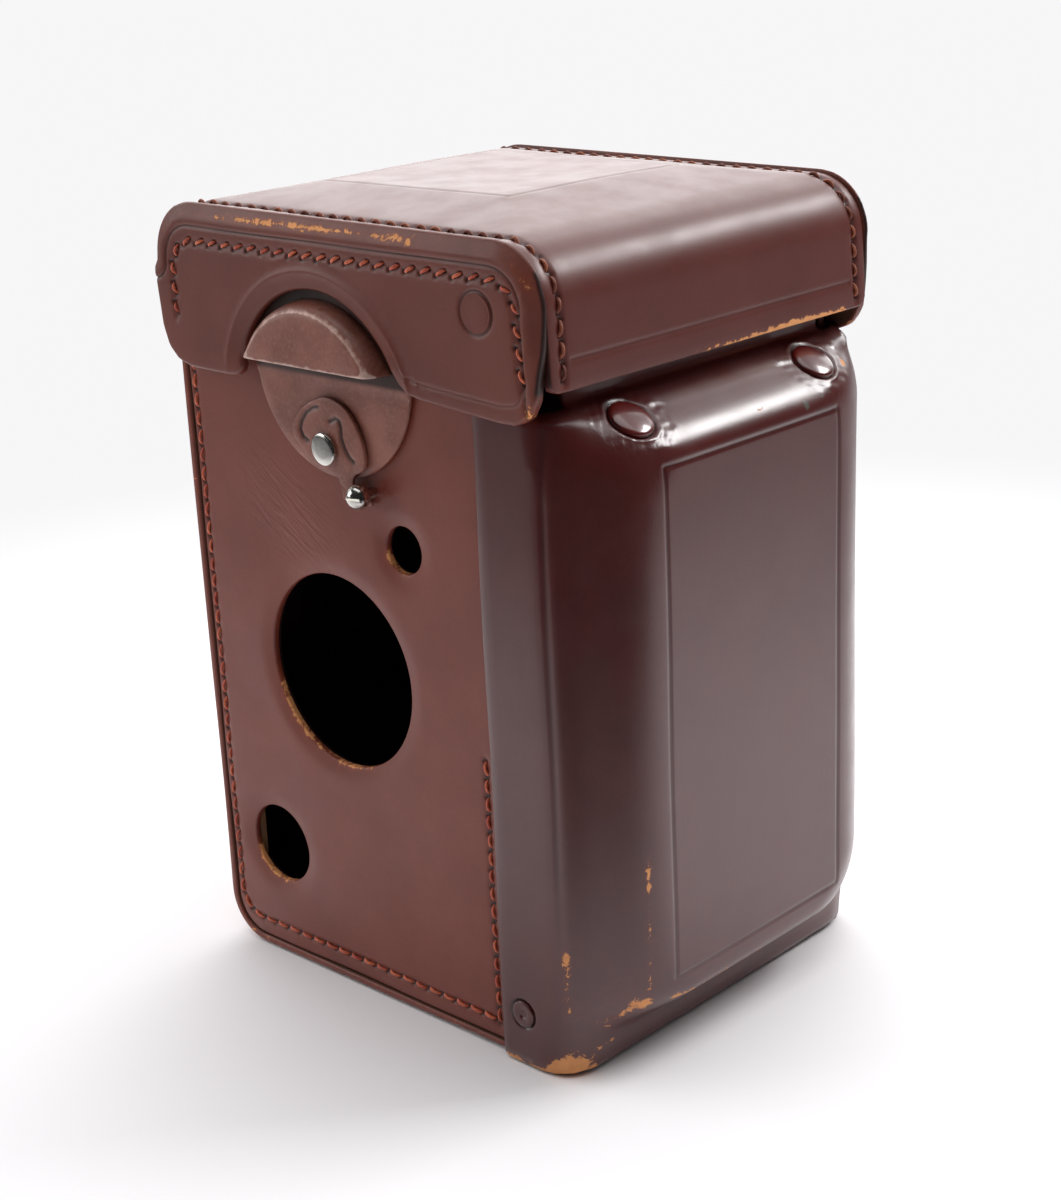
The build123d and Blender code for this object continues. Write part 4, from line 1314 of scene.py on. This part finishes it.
def make_hood():
    """The louvre: a half-round hood pressed out of the plate, open below."""
    y, z, radius = louvre
    top = 5.05
    metal = 0.8
    profile = [(0.0, 0.0), (0.25, 1.3), (0.5, 2.6), (0.8, 3.6), (1.2, 4.3), (1.9, 4.8), (2.8, 5.0)]
    profile += [(inset, top) for inset in (4.5, 7.0, 9.5, 11.5, radius - (louvre_foot - z) - 0.02)]
    count = 56
    verts, wear, rust, scuff = [], [], [], []
    for inset, height in profile:
        r = radius - inset
        start = math.asin(min(1.0, (louvre_foot - z) / r))
        angle = np.linspace(start, math.pi - start, count)
        py, pz = y + r * np.cos(angle), z + r * np.sin(angle)
        lip = 0.25 * bump(pz - louvre_foot, 1.2) * (height > 4)
        x = -(plate_out + height * louvre_height / top + lip)
        verts.append(np.stack([x, py, pz], axis=1))
        rim = 0.95 * bump(inset - 1.7, 0.8) + 0.95 * bump(pz - louvre_foot, 0.7) * (height > 3)
        wear.append(rim)
        rust.append(0.55 * (inset < 1.0) * (py < 12))
        high_scuff = 0.6 * bump(np.hypot(py - 12.5, pz - 139.0), 1.6)
        scuff.append(high_scuff + 0.55 * bump(np.hypot(py + 3.2, pz - 132.5), 2.0))
    outer = np.vstack(verts)
    inner = outer.copy()
    inner[:, 0] += metal
    centre = np.array([0, y, z + 3])
    shrink = 1 - metal / radius
    inner[:, 1:] = centre[1:] + (outer[:, 1:] - centre[1:]) * shrink
    inner[:, 0] = np.minimum(inner[:, 0], -plate_out + 0.3)
    rows, faces = len(profile), []
    total = len(outer)
    for i in range(rows - 1):
        for k in range(count - 1):
            a, b, c, e = i * count + k, i * count + k + 1, (i + 1) * count + k + 1, (i + 1) * count + k
            faces += [(a, b, c, e), (total + e, total + c, total + b, total + a)]
    border = list(range(count))
    border += [i * count + count - 1 for i in range(1, rows)]
    border += [i * count for i in range(rows - 1, 0, -1)]
    for a, b in zip(border, border[1:] + border[:1]):
        faces.append((b, a, total + a, total + b))
    values = {"wear": wear, "rust": rust, "scuff": scuff}
    values = {key: np.tile(np.concatenate(value), 2) for key, value in values.items()}
    # Painted shade: the hood's inner face is dark all over.
    values["dark"] = np.concatenate([np.zeros(total), np.full(total, 0.8)])
    values["inner"] = np.zeros(2 * total)
    return np.vstack([outer, inner]), faces, values


def make_plate(name, side):
    loops = [circle(disc[:2], disc[2])]
    made = sheet(loops, side_surface(-1, plate_out), 1.0, plate_relief, plate_marks, 0.35, 1.0)
    made = outward_side(side, merge(made, make_hood()))
    node = f"latch_plate_{name}"
    build(f"latch_disc_{name}", made[0], made[1], plate_paint, "lid", "plate_paint", [node], made[2])


lever_outline = [(10.2, 123.8), (5.5, 123.3), (2.3, 121.0), (-0.3, 116.4), (-0.4, 111.9), (2.4, 110.1)]
lever_outline += [(3.0, 108.8), (3.6, 106.6), (5.0, 106.9), (6.6, 108.1), (7.4, 109.4)]
lever_outline += [(13.0, 110.7), (16.3, 113.0), (18.9, 116.3), (16.3, 120.6)]
rear_groove = [(11.3, 121.9), (12.6, 121.6), (14.6, 120.4), (16.0, 118.6), (16.5, 117.0), (15.9, 115.6)]
rear_groove += [(14.6, 115.0)]
front_groove = [(8.0, 119.6), (6.6, 120.3), (5.5, 119.9), (5.2, 118.6), (5.3, 116.9), (4.6, 115.0)]
front_groove += [(3.5, 113.4), (2.3, 112.6)]
lever_grooves = (Line(rear_groove), Line(front_groove))


def groove_gap(p):
    return np.min([line.distance(p) for line in lever_grooves], axis=0)


def lever_relief(p, q, d):
    return -0.42 * bump(groove_gap(p), 0.5) - 0.15 * ramp(-0.9, 0, d)


def lever_marks(p, q, d):
    groove = groove_gap(p)
    zero = np.zeros(len(p))
    wear = 0.36 * bump(d, 0.5) + 0.4 * bump(groove - 0.9, 0.3)
    # Painted shade in the grooves.
    return {"wear": wear, "dark": np.clip(0.9 * bump(groove, 0.45), 0, 1), "rust": zero + 0.18, "scuff": zero}


def make_lever(name, side):
    """The leaf, its finger under the stud's neck and the web between them."""

    def fine(p):
        return groove_gap(p) - 0.4

    loop = flowing(lever_outline)
    face = sheet([loop], side_surface(-1, lever_out), 1.0, lever_relief, lever_marks, 0.25, 0.7, fine, 1)
    finger = [(6.4, 107.2), (3.4, 106.0), (-0.4, 105.5), (-0.4, 104.3), (6.3, 104.3)]
    finger = rounded(finger, (0.5, 0.6, 0.5, 0.5, 0.5))
    web = rounded([(6.3, 107.6), (3.7, 106.7), (3.7, 104.9), (6.2, 104.9)], (0.4, 0.4, 0.4, 0.4))
    hook = sheet([finger], side_surface(-1, 44.0), 0.7, None, lever_marks, 0.2, 0.6)
    joint = sheet([web], side_surface(-1, 45.2), 1.9, None, lever_marks, 0.2, 0.6)
    made = outward_side(side, merge(face, hook, joint))
    body = f"latch_lever_{name}"
    build(f"lever_{name}", made[0], made[1], plate_paint, body, "plate_paint", [body], made[2])


def make_latch_metal():
    head = [(3.1, -1.2), (3.15, 0.5), (3.05, 0.72), (2.8, 0.84), (1.6, 0.9), (0.0, 0.92)]
    pieces = []
    for _, side in SIDES:
        origin = (side * (lever_out + 0.05), lever_pivot[1], lever_pivot[2])
        pieces.append((origin, (side, 0, 0), head))
    turned("lever_rivet_heads", pieces, nickel, "lid", "nickel", ["lever_rivets"], 64)


# ---- hinge band -------------------------------------------------------------------------------
def make_hinge_band():
    """One strip of leather over both leaves, with creases pressed in where the lid turns."""
    low, high = size("hinge_band_lower")[0][2], size("hinge_band_upper")[1][2]
    out = size("hinge_band_lower")[1][1]
    half = size("hinge_band_lower")[1][0]
    outer = box_outline((-half, low), (half, high), (4.0, 4.0, 4.0, 4.0))

    def surface(p):
        return np.stack([-p[:, 0], np.full(len(p), out), p[:, 1]], axis=1)

    reach = half - 3.0
    lower = Line([(-reach, low + 3.0), (reach, low + 3.0)])
    upper = Line([(-reach, high - 3.0), (reach, high - 3.0)])
    stitches = (lower.stitches(3.8, 3.2, 8), upper.stitches(3.8, 3.2, 8))
    lines = (lower, upper)

    def relief(p, q, d):
        crease = sum(bump(p[:, 1] - hinge[2] - k, 0.5) for k in (-1.6, 0.0, 1.6))
        return seam_relief(p, lines, stitches, 0.16, 0.24) - 0.12 * crease - 0.15 * ramp(-1.2, 0, d)

    def marks(p, q, d):
        wear = 0.3 * bump(d, 0.8) + 0.12 * bump(p[:, 1] - hinge[2], 2.5)
        # Painted shade at the stitch holes and along the seams.
        return {"wear": wear, "dark": seam_dark(p, lines, stitches)}

    def fine(p):
        return np.minimum.reduce([lower.distance(p), upper.distance(p), np.abs(p[:, 1] - hinge[2]) - 1.5])

    made = sheet([outer], surface, 0.8, relief, marks, 0.3, 1.4, fine, 2)
    nodes = ["hinge_band_lower", "hinge_band_upper"]
    band = build("hinge_band", *made[:2], side_leather, None, "leather_side", nodes, made[2])
    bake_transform(band)

    def lowered(p):
        return surface(p) - (0, 0.18, 0)

    parts = (("lower", "case_body", stitches[0]), ("upper", "lid", stitches[1]))
    for name, body, ends in parts:
        node = f"hinge_thread_{name}"
        runs = [(lowered, ends)]
        thread(f"stitches_hinge_{name}", runs, body, "thread", [node], red_thread, 0.36, 0.3, 0.3)


# ---- linings and pieces kept from the frame ----------------------------------------------------
def velvet_sheet(name, loops, surface, thick, seed, body, node):
    """Velvet-faced leather glued to the inside of another piece."""

    def relief(p, q, d):
        return 0.06 * ripple(p, 16, seed)

    made = sheet(loops, surface, thick, relief, None, 0.2, 2.4)
    return build(name, *made[:2], velvet, body, "velvet", [node])


def make_side_lining(name, side):
    low, high = size(f"side_lining_{name}")
    loops = [box_outline(low[1:], high[1:], (3, 3, 2, 4))]
    if side < 0:
        loops += [circle(hole[:2], hole[2] + 0.3) for hole in (focus_hole, shutter_hole, spool_hole)]
    inward = side_surface(-1, min(abs(low[0]), abs(high[0])))
    inward.facing = 1
    node = f"side_lining_{name}"
    obj = velvet_sheet(f"velvet_side_{name}", loops, inward, abs(high[0] - low[0]), 5, "case_body", node)
    mirror_if_right(obj, side)


def make_back_lining():
    low, high = size("back_lining")
    thick = 0.6
    inner_rear, inner_low = high[1] - thick, low[2] + thick
    side_view = rounded([(inner_rear, high[2]), (inner_rear, inner_low), (low[1], inner_low)], (0, 7.0, 0))
    surface = bent_surface(side_view[::-1])
    screw = pivot("camera_screw_turn")[1] - low[1]
    outer = box_outline((-high[0], 0), (high[0], surface.length), (2, 2, 2, 2))
    loops = [outer, circle((0, screw), 11.3)]
    velvet_sheet("velvet_back", loops, surface, thick, 6, "case_body", "back_lining")


def make_lid_lining():
    low, high = size("lid_lining")
    thick = 0.6
    front, rear, top = low[1] + thick, high[1] - thick, high[2] - thick
    side_view = rounded([(front, low[2]), (front, top), (rear, top), (rear, low[2])], (0, 11.0, 8.5, 0))
    surface = bent_surface(side_view[::-1])
    outer = box_outline((-high[0], 0), (high[0], surface.length), (2, 2, 2, 2))
    velvet_sheet("velvet_lid", [outer], surface, thick, 8, "lid", "lid_lining")


def make_cover_lining():
    low, high = size("front_cover_lining")
    outer = box_outline((-high[0], low[2]), (high[0], high[2]), (3, 3, 3, 3))

    def surface(p):
        return np.stack([-p[:, 0], np.full(len(p), high[1]), p[:, 1]], axis=1)

    thick = high[1] - low[1]
    velvet_sheet("velvet_front", [outer], surface, thick, 9, "front_cover", "front_cover_lining")


KEPT = {
    raw_leather: ("seam_welt_left", "seam_welt_right"),
    board: ("base_board", "shoulder_stiffener"),
    brass: ("screw_bush", "stud_nuts", "front_hinge_washers", "dome_rivet_burrs", "plate_rivets"),
    nickel: ("latch_studs", "camera_screw"),
    spring_steel: ("screw_ring", "lever_washers"),
    flap_leather: ("corner_rivets",),
}


def finish_kept_nodes():
    """Gives the pieces whose CAD shape is right their materials, and takes the sharpness off their edges."""
    for material, names in KEPT.items():
        for name in names:
            obj = frame["nodes"][name]
            obj.data.materials.clear()
            obj.data.materials.append(material)
            bevel = obj.modifiers.new("soft_edges", "BEVEL")
            bevel.width = 0.15 * MM
            bevel.segments = 2
            bevel.limit_method = "ANGLE"
            bevel.angle_limit = math.radians(40)


# ---- stage, light and camera -------------------------------------------------------------------
view_azimuth = math.atan2(-0.68250, 0.65620)


def stage_material():
    """A white table. Glossy leather sees it end in front of the case, where the room is darker."""
    g = Graph("table_white")
    place = g.node("ShaderNodeNewGeometry").outputs["Position"]
    where = g.node("ShaderNodeSeparateXYZ", {"Vector": place})
    ahead = g.math("MULTIPLY", where.outputs[0], math.sin(view_azimuth))
    toward = g.math("SUBTRACT", ahead, g.math("MULTIPLY", where.outputs[1], math.cos(view_azimuth)))
    distance = g.node("ShaderNodeVectorMath", {0: place}, operation="LENGTH").outputs["Value"]
    dim = g.math("MAXIMUM", g.ramp(toward, 0.09, 0.23), g.ramp(distance, 0.14, 0.5, 0.0, 0.7))
    left = g.math("MULTIPLY", where.outputs[0], -1.0)
    dim = g.math("MAXIMUM", dim, g.ramp(left, 0.1, 0.36, 0.0, 0.85))
    glossy = g.node("ShaderNodeLightPath").outputs["Is Glossy Ray"]
    tone = g.mix(g.math("MULTIPLY", dim, glossy), colour(243, 241, 243), colour(20, 17, 17))
    tone = g.mix(g.ramp(g.noise(40, 3), 0.3, 0.7, 0, 0.03), tone, colour(225, 224, 226))
    seen = g.node("ShaderNodeLightPath").outputs["Is Camera Ray"]
    backdrop = g.math("MULTIPLY", g.ramp(distance, 0.06, 0.42), seen)
    lit = g.node("ShaderNodeBsdfDiffuse", {"Color": tone})
    white = g.node("ShaderNodeEmission", {"Color": (0.93, 0.925, 0.935, 1), "Strength": 1.0})
    return g.show(g.node("ShaderNodeMixShader", {0: backdrop, 1: lit.outputs[0], 2: white.outputs[0]}))


def stage_piece(name, material, shape):
    """A piece of the stage from a function that fills a bmesh."""
    mesh = bpy.data.meshes.new(name)
    bm = bmesh.new()
    shape(bm)
    bm.to_mesh(mesh)
    bm.free()
    mesh.materials.append(material)
    obj = bpy.data.objects.new(name, mesh)
    bpy.context.scene.collection.objects.link(obj)
    return obj


def make_stage():
    """A wide pale table and a small plinth of the same stuff, which shows only when the table sinks.

    The dropped front cover reaches below the case's base, so the table sinks as that cover turns.
    """
    material = stage_material()
    width = (wrap_high[0] - wrap_low[0]) * MM * 0.8

    def block(bm):
        bmesh.ops.create_cube(bm, size=1.0)
        bmesh.ops.scale(bm, vec=(width, 0.058, 0.04), verts=bm.verts)
        bmesh.ops.translate(bm, vec=(0, 0.018, -0.0203), verts=bm.verts)

    def top(bm):
        bmesh.ops.create_grid(bm, x_segments=12, y_segments=12, size=6.0)

    table = stage_piece("table", material, top)
    stage_piece("plinth", material, block)
    driver = table.driver_add("location", 2).driver
    turn = driver.variables.new()
    turn.name = "turn"
    turn.type = "TRANSFORMS"
    turn.targets[0].id = frame["bodies"]["front_cover"]
    turn.targets[0].transform_type = "ROT_X"
    turn.targets[0].transform_space = "WORLD_SPACE"
    high = cover_pivot[2] * MM
    drop = (cover_pivot[1] - cover_low[1] + 0.3) * MM
    driver.expression = f"min(0, {high:.5f} - {drop:.5f} * sin(turn) + {1.2 * MM:.5f} * cos(turn))"


def area_light(name, place, target, width, height, power):
    data = bpy.data.lights.new(name, "AREA")
    data.shape = "RECTANGLE"
    data.size, data.size_y = width, height
    data.energy = power
    obj = bpy.data.objects.new(name, data)
    obj.location = place
    direction = Vector(target) - Vector(place)
    obj.rotation_euler = direction.to_track_quat("-Z", "Y").to_euler()
    obj.visible_camera = False
    bpy.context.scene.collection.objects.link(obj)


def make_lights():
    """Soft studio light: a broad top light, a bright screen behind, gentle fill from both sides."""
    back = Vector((math.sin(-view_azimuth), math.cos(view_azimuth), 0))
    right = Vector((back.y, -back.x, 0))
    area_light("top_light", (0.1, 0.0, 1.1), (0, 0, 0), 1.1, 1.1, 6.2)
    area_light("back_screen", back * 1.2 + Vector((0, 0, 0.62)), (0, 0, 0.15), 2.4, 0.9, 16)
    area_light("left_fill", -right * 1.1 + back * 0.15 + Vector((0, 0, 0.5)), (0, 0, 0.08), 0.7, 0.7, 3.9)
    area_light("right_screen", (0.8, -0.43, 0.8), (0, 0, 0.12), 0.5, 0.22, 7.0)


def make_world():
    """White for the camera; for the case, bright behind and above and darker where the room is.

    Gloss sees a narrower bright part than the leather's own colour is lit by.
    """
    world = bpy.data.worlds.new("studio")
    bpy.context.scene.world = world
    g = Graph("studio", world)
    bright = (-math.sin(view_azimuth) * 0.85, math.cos(view_azimuth) * 0.85, 0.52)
    toward = g.node("ShaderNodeVectorMath", {0: g.place, 1: bright}, operation="DOT_PRODUCT").outputs["Value"]
    path = g.node("ShaderNodeLightPath").outputs
    wide = g.ramp(toward, -0.35, 0.75, 0.03, 1.0)
    narrow = g.ramp(toward, 0.5, 0.93, 0.03, 1.05)
    tone = g.node("ShaderNodeMapRange", {0: path["Is Glossy Ray"], 3: wide, 4: narrow}).outputs[0]
    room = g.node("ShaderNodeBackground", {0: tone, 1: 0.9}).outputs[0]
    white = g.node("ShaderNodeBackground", {0: (0.94, 0.94, 0.95, 1)}).outputs[0]
    g.show(g.node("ShaderNodeMixShader", {0: path["Is Camera Ray"], 1: room, 2: white}))


def make_camera():
    """A short telephoto close to the case, looking down at its front left corner."""
    right = Vector((0.68182, -0.73026, -0.04300))
    down = Vector((-0.26324, -0.19009, -0.94582))
    forward = Vector((0.68252, 0.65620, -0.32184))
    camera = bpy.data.cameras.new("camera")
    camera.lens = 64.73
    camera.sensor_width = 36
    camera.clip_start = 0.01
    obj = bpy.data.objects.new("camera", camera)
    rotation = Matrix((right, -down, -forward)).transposed()
    obj.matrix_world = Matrix.Translation((-0.29875, -0.28452, 0.21431)) @ rotation.to_4x4()
    bpy.context.scene.collection.objects.link(obj)
    bpy.context.scene.camera = obj
    bpy.context.scene.view_settings.view_transform = "Standard"


# ---- everything ----------------------------------------------------------------------------------
for side_name, side_sign in SIDES:
    make_side_panel(f"side_panel_{side_name}", side_sign)
    make_side_thread(side_name, side_sign)
    make_flap(side_name, side_sign)
    make_plate(side_name, side_sign)
    make_lever(side_name, side_sign)
make_wrap()
for side_name, side_sign in SIDES:
    make_side_lining(side_name, side_sign)
make_back_lining()
make_front_cover()
make_cover_lining()
make_cover_rivets()
make_lid()
make_lid_lining()
make_latch_metal()
make_hinge_band()
finish_kept_nodes()
make_stage()
make_lights()
make_world()
make_camera()
